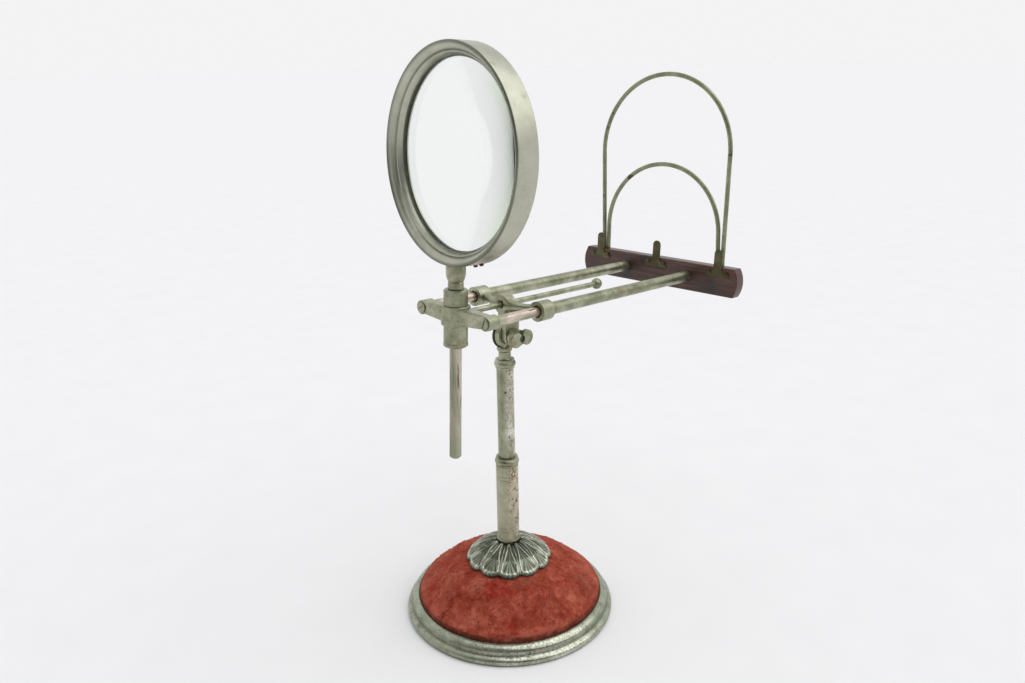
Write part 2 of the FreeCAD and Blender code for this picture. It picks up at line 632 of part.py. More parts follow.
def knuckle_head():
    """Finial that turns in the column and carries the hinge's round lug, in the row's frame."""
    seat = HEAD_SEAT + FACE_GAP
    spigot_end = UPPER_TUBE_TOP - SOCKET_LENGTH + SPIGOT_END_GAP
    bead_top = HINGE_HEIGHT - LUG_RADIUS + HEAD_BEAD_RISE
    bead_low = bead_top - HEAD_BEAD_HEIGHT
    bead_middle = bead_low + HEAD_BEAD_HEIGHT / 2
    finial = turned(
        (0, spigot_end), (SPIGOT_RADIUS, spigot_end), (SPIGOT_RADIUS, seat),
        (NECK_RADIUS + NECK_FLANGE, seat), (NECK_RADIUS, seat + NECK_FLANGE_HEIGHT),
        (NECK_RADIUS, bead_low), ((HEAD_BEAD_RADIUS, bead_middle), (NECK_RADIUS, bead_top)),
        (0, bead_top))
    lug = rod(LUG_RADIUS, HINGE + X_AXIS * LUG_START, HINGE + X_AXIS * LUG_END)
    stalk_half = LUG_THICKNESS / 2
    stalk_mid = (LUG_START + LUG_END) / 2
    stalk = box((stalk_mid - stalk_half, stalk_mid + stalk_half),
                (-NECK_RADIUS * 0.8, NECK_RADIUS * 0.8),
                (bead_middle, HINGE_HEIGHT - LUG_RADIUS * 0.6))
    slot_start = HINGE + X_AXIS * (LUG_START - FRICTION_THICKNESS - FACE_GAP)
    washer_slot = rod(FRICTION_RADIUS + FACE_GAP, slot_start, HINGE + X_AXIS * LUG_START)
    return solid_of(joined(finial, lug, stalk).cut([pivot_bolt(), washer_slot]))


def friction_washer():
    start = HINGE + X_AXIS * (LUG_START - FRICTION_THICKNESS)
    washer = rod(FRICTION_RADIUS, start, HINGE + X_AXIS * LUG_START)
    return solid_of(washer.cut(pivot_bolt()))


def pivot_bolt():
    seat = LUG_START - FRICTION_THICKNESS
    head_end = seat - PIVOT_HEAD_THICKNESS
    bolt_end = WING_START + NUT_WING_THICKNESS - PIVOT_END_INSET
    bolt = turned((0, head_end), (PIVOT_HEAD_RADIUS - PIVOT_HEAD_BEVEL, head_end),
                  (PIVOT_HEAD_RADIUS, head_end + PIVOT_HEAD_BEVEL), (PIVOT_HEAD_RADIUS, seat),
                  (PIVOT_RADIUS, seat), (PIVOT_RADIUS, bolt_end), (0, bolt_end))
    return aimed(bolt, X_AXIS, HINGE)


def thumb_nut():
    """Nut with a round boss and two round wings, in the row's frame."""
    start = TONGUE_END + FACE_GAP
    boss = rod(NUT_BOSS_RADIUS, HINGE + X_AXIS * start, HINGE + X_AXIS * (WING_START + NUT_WING_RUN_IN))
    wings = []
    for side in (-1, 1):
        centre = HINGE + Vector(WING_START, side * NUT_WING_OFFSET, 0)
        wings.append(rod(NUT_WING_RADIUS, centre, centre + X_AXIS * NUT_WING_THICKNESS))
    body = joined(boss, *wings)
    bore = rod(PIVOT_RADIUS + RUNNING_GAP, HINGE, HINGE + X_AXIS * (WING_START + 2 * NUT_WING_THICKNESS))
    return solid_of(body.cut(bore))


# ---- yoke and rails, in the hinge's frame ---------------------------------------------------
SIDES = (("left", -1), ("right", 1))
YOKE_BACK = YOKE_FRONT + COLLAR_LENGTH
TUBE_SHOULDER = YOKE_FRONT + COLLAR_LENGTH * COLLAR_SHOULDER
BAR_BACK = BAR_FRONT + BAR_THICKNESS
TUBE_BACK = BAR_FRONT + TUBE_SOCKET_DEPTH
BAR_TOP_Z = RAIL_HEIGHT + BAR_TOP
SCREW_SHANK = RAIL_SCREW_HEAD_RADIUS * SCREW_PILOT_SHARE


def on_rail(side, y):
    return Vector(side * RAIL_HALF_SPACING, y, RAIL_HEIGHT)


def ellipse_at(x, centre_y, half_depth, half_height):
    """Upright ellipse in a plane of constant x, around the rail height."""
    if half_height > half_depth:
        ellipse = Part.Ellipse(Vector(), half_height, half_depth)
        rotation = FreeCAD.Rotation(Z_AXIS, -Y_AXIS, X_AXIS)
    else:
        ellipse = Part.Ellipse(Vector(), half_depth, half_height)
        rotation = FreeCAD.Rotation(Y_AXIS, Z_AXIS, X_AXIS)
    wire = Part.Wire(ellipse.toShape())
    wire.Placement = FreeCAD.Placement(Vector(x, centre_y, RAIL_HEIGHT), rotation)
    return wire


def yoke_arm(side):
    """Waisted arm from the hub to a collar."""
    collar_mid = (YOKE_FRONT + YOKE_BACK) / 2
    hub_mid = (HUB_FRONT + HUB_BACK) / 2
    end = side * RAIL_HALF_SPACING
    waist = (ARM_WAIST_DEPTH / 2, ARM_WAIST_HEIGHT / 2)
    sections = [
        ellipse_at(0, hub_mid, (HUB_BACK - HUB_FRONT) / 2 - 0.5, HUB_RADIUS - 1.0),
        ellipse_at(end * ARM_WAIST_FROM, hub_mid, *waist),
        ellipse_at(end * ARM_WAIST_TO, collar_mid, *waist),
        ellipse_at(end, collar_mid, COLLAR_LENGTH / 2 - 0.6, COLLAR_RADIUS - 0.8)]
    return solid_of(Part.makeLoft(sections, True))


def yoke():
    hub = rod(HUB_RADIUS, Vector(0, HUB_FRONT, RAIL_HEIGHT), Vector(0, HUB_BACK, RAIL_HEIGHT))
    pieces = [hub]
    for _, side in SIDES:
        pieces.append(rod(COLLAR_RADIUS, on_rail(side, YOKE_FRONT), on_rail(side, YOKE_BACK)))
        pieces.append(yoke_arm(side))
    web_bottom = FRICTION_RADIUS + WEB_CLEAR
    tongue = plate((-TONGUE_HALF_WIDTH, TONGUE_SHOULDER), (-TONGUE_HALF_WIDTH, 0),
                   ((0, -TONGUE_HALF_WIDTH), (TONGUE_HALF_WIDTH, 0)),
                   (TONGUE_HALF_WIDTH, TONGUE_SHOULDER), (HUB_BACK - HUB_END_INSET, TONGUE_TOP),
                   (HUB_FRONT + HUB_END_INSET, TONGUE_TOP), low=0, high=TONGUE_THICKNESS)
    tongue.rotate(Vector(), Z_AXIS, 90)
    tongue.translate(Vector(TONGUE_END, 0, 0))
    web = box((-HUB_RADIUS / 2, TONGUE_END), (HUB_FRONT + HUB_END_INSET, HUB_BACK - HUB_END_INSET),
              (web_bottom, RAIL_HEIGHT))
    body = joined(*pieces, tongue, web)
    before_hub = Vector(0, 2 * HUB_FRONT, RAIL_HEIGHT)
    behind_hub = Vector(0, 2 * HUB_BACK, RAIL_HEIGHT)
    mouth_end = Vector(0, HUB_FRONT + HUB_MOUTH, RAIL_HEIGHT)
    cutters = [rod(FOCUS_ROD_RADIUS + RUNNING_GAP, before_hub, behind_hub),
               rod(FOCUS_ROD_RADIUS + HUB_MOUTH_GAP, before_hub, mouth_end),
               rod(PIVOT_RADIUS + RUNNING_GAP, X_AXIS * LUG_START, X_AXIS * (2 * TONGUE_END))]
    for _, side in SIDES:
        front, back = on_rail(side, -COLLAR_LENGTH), on_rail(side, 2 * COLLAR_LENGTH)
        mouth = on_rail(side, YOKE_FRONT + COLLAR_MOUTH)
        cutters.append(rod(INNER_ROD_RADIUS + RUNNING_GAP, front, back))
        cutters.append(rod(INNER_ROD_RADIUS + COLLAR_MOUTH_GAP, front, mouth))
        cutters.append(rod(OUTER_TUBE_RADIUS, on_rail(side, TUBE_SHOULDER), back))
    return solid_of(body.cut(cutters))


def outer_tube(side):
    front = on_rail(side, TUBE_SHOULDER)
    body = rod(OUTER_TUBE_RADIUS, front, on_rail(side, TUBE_BACK))
    bore = rod(INNER_ROD_RADIUS + RUNNING_GAP, front, on_rail(side, TUBE_BACK - RAIL_END_WALL))
    pilot = rod(SCREW_SHANK, front, on_rail(side, BAR_BACK))
    return solid_of(body.cut([bore, pilot]))


# ---- card bar, in the hinge's frame ---------------------------------------------------------
def rail_screws():
    """Two screws through the bar's back into the ends of the rails."""
    screws = []
    length = BAR_BACK - TUBE_BACK + RAIL_SCREW_GRIP
    for _, side in SIDES:
        screw = screw_with_slot(RAIL_SCREW_HEAD_RADIUS, RAIL_SCREW_HEAD_HEIGHT, SCREW_SHANK, length)
        screws.append(aimed(screw, Y_AXIS, on_rail(side, BAR_BACK), roll=20 * side))
    return Part.makeCompound(screws)


def clip_screw_places(clip_x):
    for side in (-1, 1):
        yield Vector(clip_x + side * CLIP_SCREW_SPACING / 2, BAR_FRONT - CLIP_SHEET,
                     BAR_TOP_Z - CLIP_SCREW_DROP)


CLIP_PLACES = (("left", -CLIP_SPACING), ("middle", 0.0), ("right", CLIP_SPACING))


def clip_screw_shank(place):
    end = place + Y_AXIS * (CLIP_SHEET + CLIP_SCREW_LENGTH)
    return rod(CLIP_SCREW_RADIUS * SCREW_PILOT_SHARE, place, end)


def clip(clip_x):
    """Flat tee-shaped clip: a wide foot on the bar and a narrow round-topped tab above it."""
    foot_low = BAR_TOP_Z - CLIP_FOOT_HEIGHT
    foot_high = BAR_TOP_Z - CLIP_FOOT_DROP
    half_foot = CLIP_FOOT_WIDTH / 2
    half_tab = CLIP_TAB_WIDTH / 2
    tab_round = BAR_TOP_Z + CLIP_TAB_RISE - half_tab
    shoulder = half_tab + CLIP_SHOULDER
    in_by = CLIP_SHOULDER * (1 - math.sqrt(0.5))
    down_by = CLIP_SHOULDER * math.sqrt(0.5)
    sheet = plate((-half_foot, foot_low), (half_foot, foot_low), (half_foot, foot_high - CLIP_SHOULDER),
                  (shoulder, foot_high - CLIP_SHOULDER),
                  ((half_tab + in_by, foot_high - down_by), (half_tab, foot_high)),
                  (half_tab, tab_round), ((0, tab_round + half_tab), (-half_tab, tab_round)),
                  (-half_tab, foot_high),
                  ((-half_tab - in_by, foot_high - down_by), (-shoulder, foot_high - CLIP_SHOULDER)),
                  (-half_foot, foot_high - CLIP_SHOULDER),
                  low=BAR_FRONT - CLIP_SHEET, high=BAR_FRONT)
    sheet.translate(Vector(clip_x, 0, 0))
    return solid_of(sheet.cut([clip_screw_shank(place) for place in clip_screw_places(clip_x)]))


def clip_screws():
    screws = []
    for number, (_, clip_x) in enumerate(CLIP_PLACES):
        for place in clip_screw_places(clip_x):
            screw = screw_with_slot(CLIP_SCREW_RADIUS, CLIP_SCREW_HEIGHT,
                                    CLIP_SCREW_RADIUS * SCREW_PILOT_SHARE,
                                    CLIP_SHEET + CLIP_SCREW_LENGTH)
            screws.append(aimed(screw, -Y_AXIS, place, roll=35 * number))
    return Part.makeCompound(screws)


def wire_path(half_span, apex, arc_radius, lean):
    """Centre line of a card wire: two straight legs that run smoothly into a round top."""
    centre = Vector(lean, BAR_FRONT + WIRE_BEHIND_FRONT, BAR_TOP_Z + apex - arc_radius)
    low = BAR_TOP_Z - WIRE_SOCKET_DEPTH
    feet, touches = [], []
    for side in (-1, 1):
        foot = Vector(side * half_span, centre.y, BAR_TOP_Z + WIRE_STRAIGHT)
        to_foot = foot - centre
        spread = math.acos(arc_radius / to_foot.Length)
        bearing = math.atan2(to_foot.z, to_foot.x) + side * spread
        touches.append(centre + Vector(math.cos(bearing), 0, math.sin(bearing)) * arc_radius)
        feet.append(foot)
    top = Vector(lean, centre.y, BAR_TOP_Z + apex)
    edges = [Part.makeLine(Vector(feet[0].x, centre.y, low), feet[0]), Part.makeLine(feet[0], touches[0]),
             Part.Arc(touches[0], top, touches[1]).toShape(), Part.makeLine(touches[1], feet[1]),
             Part.makeLine(feet[1], Vector(feet[1].x, centre.y, low))]
    return Part.Wire(edges)


def card_wire(half_span, apex, arc_radius, lean):
    path = wire_path(half_span, apex, arc_radius, lean)
    start = path.Edges[0].valueAt(path.Edges[0].FirstParameter)
    section = Part.Wire(Part.makeCircle(WIRE_RADIUS, start, Z_AXIS))
    return solid_of(path.makePipeShell([section], True, False, 2))


TALL_WIRE = (TALL_HALF_SPAN, TALL_APEX, TALL_ARC_RADIUS, TALL_LEAN)
SMALL_WIRE = (SMALL_HALF_SPAN, SMALL_APEX, SMALL_ARC_RADIUS, SMALL_LEAN)


def card_bar():
    corner = BAR_HALF_LENGTH - BAR_END_BOW
    low = BAR_TOP_Z - BAR_HEIGHT
    mid = BAR_TOP_Z - BAR_HEIGHT / 2
    wood = plate((-corner, low), (corner, low), ((BAR_HALF_LENGTH, mid), (corner, BAR_TOP_Z)),
                 (-corner, BAR_TOP_Z), ((-BAR_HALF_LENGTH, mid), (-corner, low)),
                 low=BAR_FRONT, high=BAR_BACK)
    wood = rounded_edges(wood, BAR_EDGE_ROUND, lambda edge: edge.BoundBox.YLength < 0.01)
    cutters = []
    for _, side in SIDES:
        cutters.append(rod(OUTER_TUBE_RADIUS, on_rail(side, BAR_FRONT - 1), on_rail(side, TUBE_BACK)))
        cutters.append(rod(SCREW_SHANK, on_rail(side, TUBE_BACK), on_rail(side, BAR_BACK + 1)))
    for half_span in (TALL_HALF_SPAN, SMALL_HALF_SPAN):
        for _, side in SIDES:
            place = Vector(side * half_span, BAR_FRONT + WIRE_BEHIND_FRONT,
                           BAR_TOP_Z - WIRE_SOCKET_DEPTH)
            cutters.append(rod(WIRE_RADIUS, place, place + Z_AXIS * (2 * WIRE_SOCKET_DEPTH)))
    for _, clip_x in CLIP_PLACES:
        cutters += [clip_screw_shank(place) for place in clip_screw_places(clip_x)]
    return solid_of(wood.cut(cutters))


# ---- lens carriage, in the hinge's frame ----------------------------------------------------
BOSS_FACE = -POST_REACH - BOSS_FRONT
BOSS_BACK = BOSS_FACE + BOSS_LENGTH
ROD_FRONT = BOSS_FACE + BOSS_WALL


def boss_screw(side):
    screw = screw_with_slot(BOSS_SCREW_RADIUS, BOSS_SCREW_HEAD_HEIGHT, BOSS_SCREW_SHANK,
                            BOSS_SCREW_LENGTH)
    return aimed(screw, -Y_AXIS, on_rail(side, BOSS_FACE), roll=55 + 20 * side)


def boss_screws():
    return Part.makeCompound([boss_screw(side) for _, side in SIDES])


def inner_rod(side):
    front = on_rail(side, ROD_FRONT)
    body = rod(INNER_ROD_RADIUS, front, on_rail(side, INNER_ROD_BACK))
    thread = rod(BOSS_SCREW_SHANK, front, on_rail(side, BOSS_FACE + BOSS_SCREW_LENGTH))
    return solid_of(body.cut(thread))


def carriage_arm(side):
    """Arm that tapers from the band around the post to a boss."""
    end = side * RAIL_HALF_SPACING
    root = -POST_REACH
    plan = slab((0, root - ARM_ROOT_HALF_DEPTH), (end, BOSS_FACE + 0.6), (end, BOSS_BACK - 1.5),
                (0, root + ARM_ROOT_HALF_DEPTH),
                low=RAIL_HEIGHT - COLLAR_RADIUS, high=RAIL_HEIGHT + COLLAR_RADIUS)
    end_half = BOSS_RADIUS - 0.5
    front = plate((0, RAIL_HEIGHT - ARM_ROOT_HALF_HEIGHT), (end, RAIL_HEIGHT - end_half),
                  (end, RAIL_HEIGHT + end_half), (0, RAIL_HEIGHT + ARM_ROOT_HALF_HEIGHT),
                  low=root - 2 * BAND_RADIUS, high=root + 2 * BAND_RADIUS)
    arm = solid_of(plan.common(front))
    return rounded_edges(arm, ARM_EDGE_ROUND,
                         lambda edge: edge.BoundBox.XLength > RAIL_HALF_SPACING * 0.9)


def is_band_edge(edge):
    return hasattr(edge.Curve, "Radius") and abs(edge.Curve.Radius - BAND_RADIUS) < 0.01


def crosspiece():
    """Casting with a band around the post sleeve and a boss for each inner rod."""
    band = tube(BAND_RADIUS, SLEEVE_RADIUS * 0.5, BAND_BOTTOM, BAND_TOP)
    band = rounded_edges(band, BAND_EDGE_ROUND, is_band_edge)
    pieces = [moved(band, y=-POST_REACH, z=RAIL_HEIGHT)]
    for _, side in SIDES:
        pieces.append(carriage_arm(side))
        pieces.append(rod(BOSS_RADIUS, on_rail(side, BOSS_FACE), on_rail(side, BOSS_BACK)))
    body = joined(*pieces)
    sleeve_hole = rod(SLEEVE_RADIUS, Vector(0, -POST_REACH, -HINGE_HEIGHT),
                      Vector(0, -POST_REACH, HINGE_HEIGHT))
    cutters = [sleeve_hole, focus_rod(), set_screw()]
    for _, side in SIDES:
        cutters.append(rod(INNER_ROD_RADIUS, on_rail(side, ROD_FRONT), on_rail(side, 0)))
        cutters.append(rod(BOSS_SCREW_SHANK, on_rail(side, 2 * BOSS_FACE), on_rail(side, ROD_FRONT)))
    return solid_of(body.cut(cutters))


POST_BORE = LENS_POST_RADIUS + RUNNING_GAP


def post_sleeve():
    bead = SLEEVE_RADIUS + SLEEVE_FOOT_BEAD
    bead_low = SLEEVE_BOTTOM + SLEEVE_FOOT_BEVEL
    bead_high = bead_low + SLEEVE_BEAD_HEIGHT
    body = turned((POST_BORE, SLEEVE_BOTTOM), (SLEEVE_RADIUS - SLEEVE_FOOT_BEVEL, SLEEVE_BOTTOM),
                  (bead, bead_low), (bead, bead_high),
                  (SLEEVE_RADIUS, bead_high + 2 * SLEEVE_FOOT_BEAD),
                  (SLEEVE_RADIUS, SLEEVE_TOP - SLEEVE_TOP_BEVEL),
                  (SLEEVE_RADIUS - SLEEVE_TOP_BEVEL, SLEEVE_TOP), (POST_BORE, SLEEVE_TOP))
    return moved(body, y=-POST_REACH, z=RAIL_HEIGHT)


def set_screw():
    bearing = math.radians(SET_SCREW_BEARING)
    out = Vector(math.cos(bearing), math.sin(bearing), 0)
    centre = Vector(0, -POST_REACH, RAIL_HEIGHT - SET_SCREW_DROP)
    return rod(SET_SCREW_RADIUS, centre + out * SLEEVE_RADIUS,
               centre + out * (BAND_RADIUS - SET_SCREW_SET_IN))


def focus_rod():
    return rod(FOCUS_ROD_RADIUS, Vector(0, -POST_REACH + SLEEVE_RADIUS + FACE_GAP / 2, RAIL_HEIGHT),
               Vector(0, FOCUS_BALL_Y + FOCUS_BALL_RADIUS * 0.4, RAIL_HEIGHT))


def focus_ball():
    ball = Part.makeSphere(FOCUS_BALL_RADIUS, Vector(0, FOCUS_BALL_Y, RAIL_HEIGHT))
    return solid_of(ball.cut(focus_rod()))


LENS_POST_TOP = SLEEVE_TOP + LENS_POST_RISE


def lens_post():
    body = turned((0, LENS_POST_BOTTOM), (LENS_POST_RADIUS - LENS_POST_BEVEL, LENS_POST_BOTTOM),
                  (LENS_POST_RADIUS, LENS_POST_BOTTOM + LENS_POST_BEVEL),
                  (LENS_POST_RADIUS, LENS_POST_TOP), (0, LENS_POST_TOP))
    return moved(body, y=-POST_REACH, z=RAIL_HEIGHT)


# ---- lens head, around the lens axis (along Y) ----------------------------------------------
RIM_FRONT = -RIM_DEPTH / 2
RIM_BACK = RIM_DEPTH / 2
RIM_INSIDE = RIM_RADIUS - RIM_WALL
LIP_FRONT = RIM_FRONT + BEZEL_DEPTH
LIP_BACK = LIP_FRONT + BEZEL_LIP
GLASS_CURVE = (GLASS_RADIUS ** 2 + GLASS_BULGE ** 2) / (2 * GLASS_BULGE)   # both faces' radius


def glass_bulge_at(radius):
    """How far a face of the glass stands beyond its edge, at a radius."""
    return math.sqrt(GLASS_CURVE ** 2 - radius ** 2) - (GLASS_CURVE - GLASS_BULGE)


GLASS_FRONT = LIP_BACK + glass_bulge_at(BEZEL_INNER_RADIUS) + SEAT_GAP
GLASS_BACK = GLASS_FRONT + GLASS_EDGE
NECK_BASE = SLEEVE_TOP - LENS_HEIGHT


def lens_neck():
    """Turned ferrule between the post and the rim, drawn under the lens axis."""
    low = NECK_BASE + FACE_GAP
    top = -RIM_RADIUS + NECK_INTO_RIM
    post_end = LENS_POST_TOP - LENS_HEIGHT + FACE_GAP
    flare_middle = (NECK_CUP_RADIUS - 0.8, low + (NECK_CUP_START + NECK_CUP_FULL) / 2 - 0.5)
    body = turned((POST_BORE, low), (NECK_RING_RADIUS, low), (NECK_RING_RADIUS, low + NECK_RING_HEIGHT),
                  (NECK_RING_RADIUS - NECK_RING_BEVEL, low + NECK_CUP_START),
                  (flare_middle, (NECK_CUP_RADIUS, low + NECK_CUP_FULL)),
                  (NECK_CUP_RADIUS, top), (0, top), (0, post_end), (POST_BORE, post_end))
    rim_bed = Part.makeCylinder(RIM_RADIUS, RIM_DEPTH * 2, Vector(0, -RIM_DEPTH, 0), Y_AXIS)
    return solid_of(body.cut(rim_bed))


def lens_rim():
    """Turned rim: a plain outer wall and a stepped, coved bezel that falls back to the glass."""
    cove_top = (RIM_RADIUS - RIM_BEAD - RIM_BEAD_STEP, RIM_FRONT + RIM_BEAD_DROP)
    cove_foot = (cove_top[0] - COVE_WIDTH, cove_top[1] + COVE_DEPTH)
    step_end = (cove_foot[0] - COVE_STEP, cove_foot[1] + COVE_STEP_DROP)
    ring = turned_about_y(
        (RIM_RADIUS, RIM_FRONT + RIM_BEAD),
        ((RIM_RADIUS - 0.3 * RIM_BEAD, RIM_FRONT + 0.3 * RIM_BEAD), (RIM_RADIUS - RIM_BEAD, RIM_FRONT)),
        cove_top,
        ((cove_top[0] - 0.65 * COVE_WIDTH, cove_top[1] + 0.4 * COVE_DEPTH), cove_foot),
        step_end,
        ((step_end[0] - 1.6, step_end[1] + 2.2), (BEZEL_INNER_RADIUS, LIP_FRONT)),
        (BEZEL_INNER_RADIUS, LIP_BACK), (RIM_INSIDE, LIP_BACK),
        (RIM_INSIDE, RIM_BACK - RIM_BACK_BEVEL), (RIM_INSIDE + RIM_BACK_BEVEL, RIM_BACK),
        (RIM_RADIUS - RIM_BACK_ROUND, RIM_BACK),
        ((RIM_RADIUS - 0.3 * RIM_BACK_ROUND, RIM_BACK - 0.3 * RIM_BACK_ROUND),
         (RIM_RADIUS, RIM_BACK - RIM_BACK_ROUND)))
    return solid_of(ring.cut([rim_screw_hole(angle) for angle in RIM_SCREW_ANGLES]))


def lens_glass():
    """Biconvex reading lens with a flat ground edge."""
    front = Part.makeSphere(GLASS_CURVE, Vector(0, GLASS_FRONT - GLASS_BULGE + GLASS_CURVE, 0))
    back = Part.makeSphere(GLASS_CURVE, Vector(0, GLASS_BACK + GLASS_BULGE - GLASS_CURVE, 0))
    blank = rod(GLASS_RADIUS, Vector(0, GLASS_FRONT - 2 * GLASS_BULGE, 0),
                Vector(0, GLASS_BACK + 2 * GLASS_BULGE, 0))
    return solid_of(blank.common(front).common(back))


def rim_screw_direction(angle):
    return Vector(math.sin(math.radians(angle)), 0, -math.cos(math.radians(angle)))


def rim_screw_place(angle):
    return rim_screw_direction(angle) * RIM_RADIUS + Y_AXIS * (GLASS_FRONT + RIM_SCREW_Y)


def rim_screw_hole(angle):
    out = rim_screw_direction(angle)
    place = rim_screw_place(angle)
    return rod(RIM_SCREW_RADIUS * SCREW_PILOT_SHARE, place - out * RIM_SCREW_GRIP, place + out)


def retaining_ring():
    """Ring with an angled section that centres the glass and holds it against the bezel."""
    relief = glass_bulge_at(RING_INNER_RADIUS) + SEAT_GAP
    ring = turned_about_y((GLASS_RADIUS, LIP_BACK), (RIM_INSIDE, LIP_BACK),
                          (RIM_INSIDE, GLASS_BACK + RING_THICKNESS + relief),
                          (RING_INNER_RADIUS, GLASS_BACK + RING_THICKNESS + relief),
                          (RING_INNER_RADIUS, GLASS_BACK + relief), (GLASS_RADIUS, GLASS_BACK + relief))
    return solid_of(ring.cut([rim_screw_hole(angle) for angle in RIM_SCREW_ANGLES]))


def rim_screws():
    """Two small screws that hold the retaining ring."""
    screws = []
    for angle in RIM_SCREW_ANGLES:
        screw = screw_with_slot(RIM_SCREW_RADIUS, RIM_SCREW_HEIGHT,
                                RIM_SCREW_RADIUS * SCREW_PILOT_SHARE, RIM_SCREW_GRIP)
        screws.append(aimed(screw, rim_screw_direction(angle), rim_screw_place(angle), roll=angle * 7))
    return Part.makeCompound(screws)


# ---- assembly -------------------------------------------------------------------------------
def on_hinge(shape):
    """Shape from the hinge's frame, tilted and lifted to its place at rest."""
    result = shape.copy()
    result.rotate(Vector(), X_AXIS, TILT_AT_REST)
    result.translate(HINGE)
    return result


def on_post(shape):
    """Shape from the lens's frame, turned on the post, then placed with the rest of the head."""
    result = shape.copy()
    result.rotate(Vector(), Z_AXIS, LENS_TURN_AT_REST)
    result.translate(Vector(0, -POST_REACH, RAIL_HEIGHT + LENS_HEIGHT))
    return on_hinge(result)


nodes = {
    "foot_ring": foot_ring(),
    "baize_pad": baize_pad(),
    "dome_core": dome_core(),
    "velvet_cover": velvet_cover(),
    "rosette": rosette(),
    "seat_ring": seat_ring(),
    "lower_tube": lower_tube(),
    "lower_collar": lower_collar(),
    "tube_plug": tube_plug(),
    "tie_rod": tie_rod(),
    "base_washer": base_washer(),
    "base_nut": base_nut(),
    "upper_tube": upper_tube(),
    "friction_bush": friction_bush(),
    "socket_bush": socket_bush(),
    "tube_rivet": tube_rivet(),
    "upper_collar": upper_collar(),
    "knuckle_head": knuckle_head(),
    "friction_washer": friction_washer(),
    "pivot_bolt": pivot_bolt(),
    "thumb_nut": thumb_nut(),
    "yoke": on_hinge(yoke()),
    "card_bar": on_hinge(card_bar()),
    "rail_screws": on_hinge(rail_screws()),
    "clip_screws": on_hinge(clip_screws()),
    "tall_wire": on_hinge(card_wire(*TALL_WIRE)),
    "small_wire": on_hinge(card_wire(*SMALL_WIRE)),
    "crosspiece": on_hinge(crosspiece()),
    "boss_screws": on_hinge(boss_screws()),
    "post_sleeve": on_hinge(post_sleeve()),
    "set_screw": on_hinge(set_screw()),
    "focus_rod": on_hinge(focus_rod()),
    "focus_ball": on_hinge(focus_ball()),
    "lens_post": on_hinge(lens_post()),
    "lens_neck": on_post(lens_neck()),
    "lens_rim": on_post(lens_rim()),
    "lens_glass": on_post(lens_glass()),
    "retaining_ring": on_post(retaining_ring()),
    "rim_screws": on_post(rim_screws()),
}
for name, side in SIDES:
    nodes["outer_tube_" + name] = on_hinge(outer_tube(side))
    nodes["inner_rod_" + name] = on_hinge(inner_rod(side))
for name, clip_x in CLIP_PLACES:
    nodes["clip_" + name] = on_hinge(clip(clip_x))

os.makedirs("parts", exist_ok=True)
for name, shape in nodes.items():
    if not shape.isValid() or shape.Volume <= 0:
        raise ValueError(name + " did not build")
    shape.exportStep("parts/" + name + ".step")
print(len(nodes), "nodes written")
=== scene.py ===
"""Looks for the table magnifier: a big reading lens on sliding rails over a weighted velvet foot.

Everything is in metres in the part's own frame: +Z up, +Y from the lens towards the card holder.
The metal and wooden parts keep their modelled shapes and get worn, tarnished finishes.
The velvet, the cast rosette and the glass are made again here in finer shapes.
"""
import json
import math

import bmesh
import bpy
from mathutils import Matrix, Vector, noise


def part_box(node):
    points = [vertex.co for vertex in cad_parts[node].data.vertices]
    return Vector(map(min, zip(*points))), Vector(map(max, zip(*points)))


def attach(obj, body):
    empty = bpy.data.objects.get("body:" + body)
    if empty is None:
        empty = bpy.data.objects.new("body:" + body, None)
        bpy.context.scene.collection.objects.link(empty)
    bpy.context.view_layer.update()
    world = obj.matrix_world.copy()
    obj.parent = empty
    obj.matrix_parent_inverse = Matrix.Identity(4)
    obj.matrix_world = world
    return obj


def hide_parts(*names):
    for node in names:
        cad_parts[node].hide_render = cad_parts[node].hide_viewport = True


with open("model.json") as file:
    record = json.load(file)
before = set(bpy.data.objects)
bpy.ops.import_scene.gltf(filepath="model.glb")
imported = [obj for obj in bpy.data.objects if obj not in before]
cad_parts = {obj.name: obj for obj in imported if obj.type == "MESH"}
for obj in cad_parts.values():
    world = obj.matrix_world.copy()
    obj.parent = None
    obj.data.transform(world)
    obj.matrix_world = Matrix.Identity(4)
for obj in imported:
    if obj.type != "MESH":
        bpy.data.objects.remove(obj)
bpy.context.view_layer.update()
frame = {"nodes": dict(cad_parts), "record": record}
parts = frame["nodes"]

MM = 0.001
Y_AXIS, Z_AXIS = Vector((0, 1, 0)), Vector((0, 0, 1))


# ---- small helpers --------------------------------------------------------------------------
def colour(code):
    """Linear colour with alpha from an sRGB hex value."""
    channels = [int(code[i:i + 2], 16) / 255 for i in (1, 3, 5)]
    return [c / 12.92 if c <= 0.04045 else ((c + 0.055) / 1.055) ** 2.4 for c in channels] + [1.0]


def every(size_mm):
    """Pattern scale that repeats about once in so many millimetres of Object coordinates."""
    return 1000.0 / size_mm


def add(tree, kind, inputs=None, stops=None, out=None, **settings):
    """Adds a shader node and gives it back, or the one output that out names.

    Inputs take numbers, colours or other nodes' outputs; stops fill a colour ramp.
    """
    made = tree.nodes.new("ShaderNode" + kind)
    for name, value in settings.items():
        setattr(made, name, value)
    for place, value in (inputs or {}).items():
        if isinstance(value, bpy.types.NodeSocket):
            tree.links.new(value, made.inputs[place])
        else:
            made.inputs[place].default_value = value
    if stops:
        elements = made.color_ramp.elements
        while len(elements) < len(stops):
            elements.new(0.5)
        for element, (position, code) in zip(elements, stops):
            element.position = position
            element.color = colour(code)
    return made if out is None else made.outputs[out]


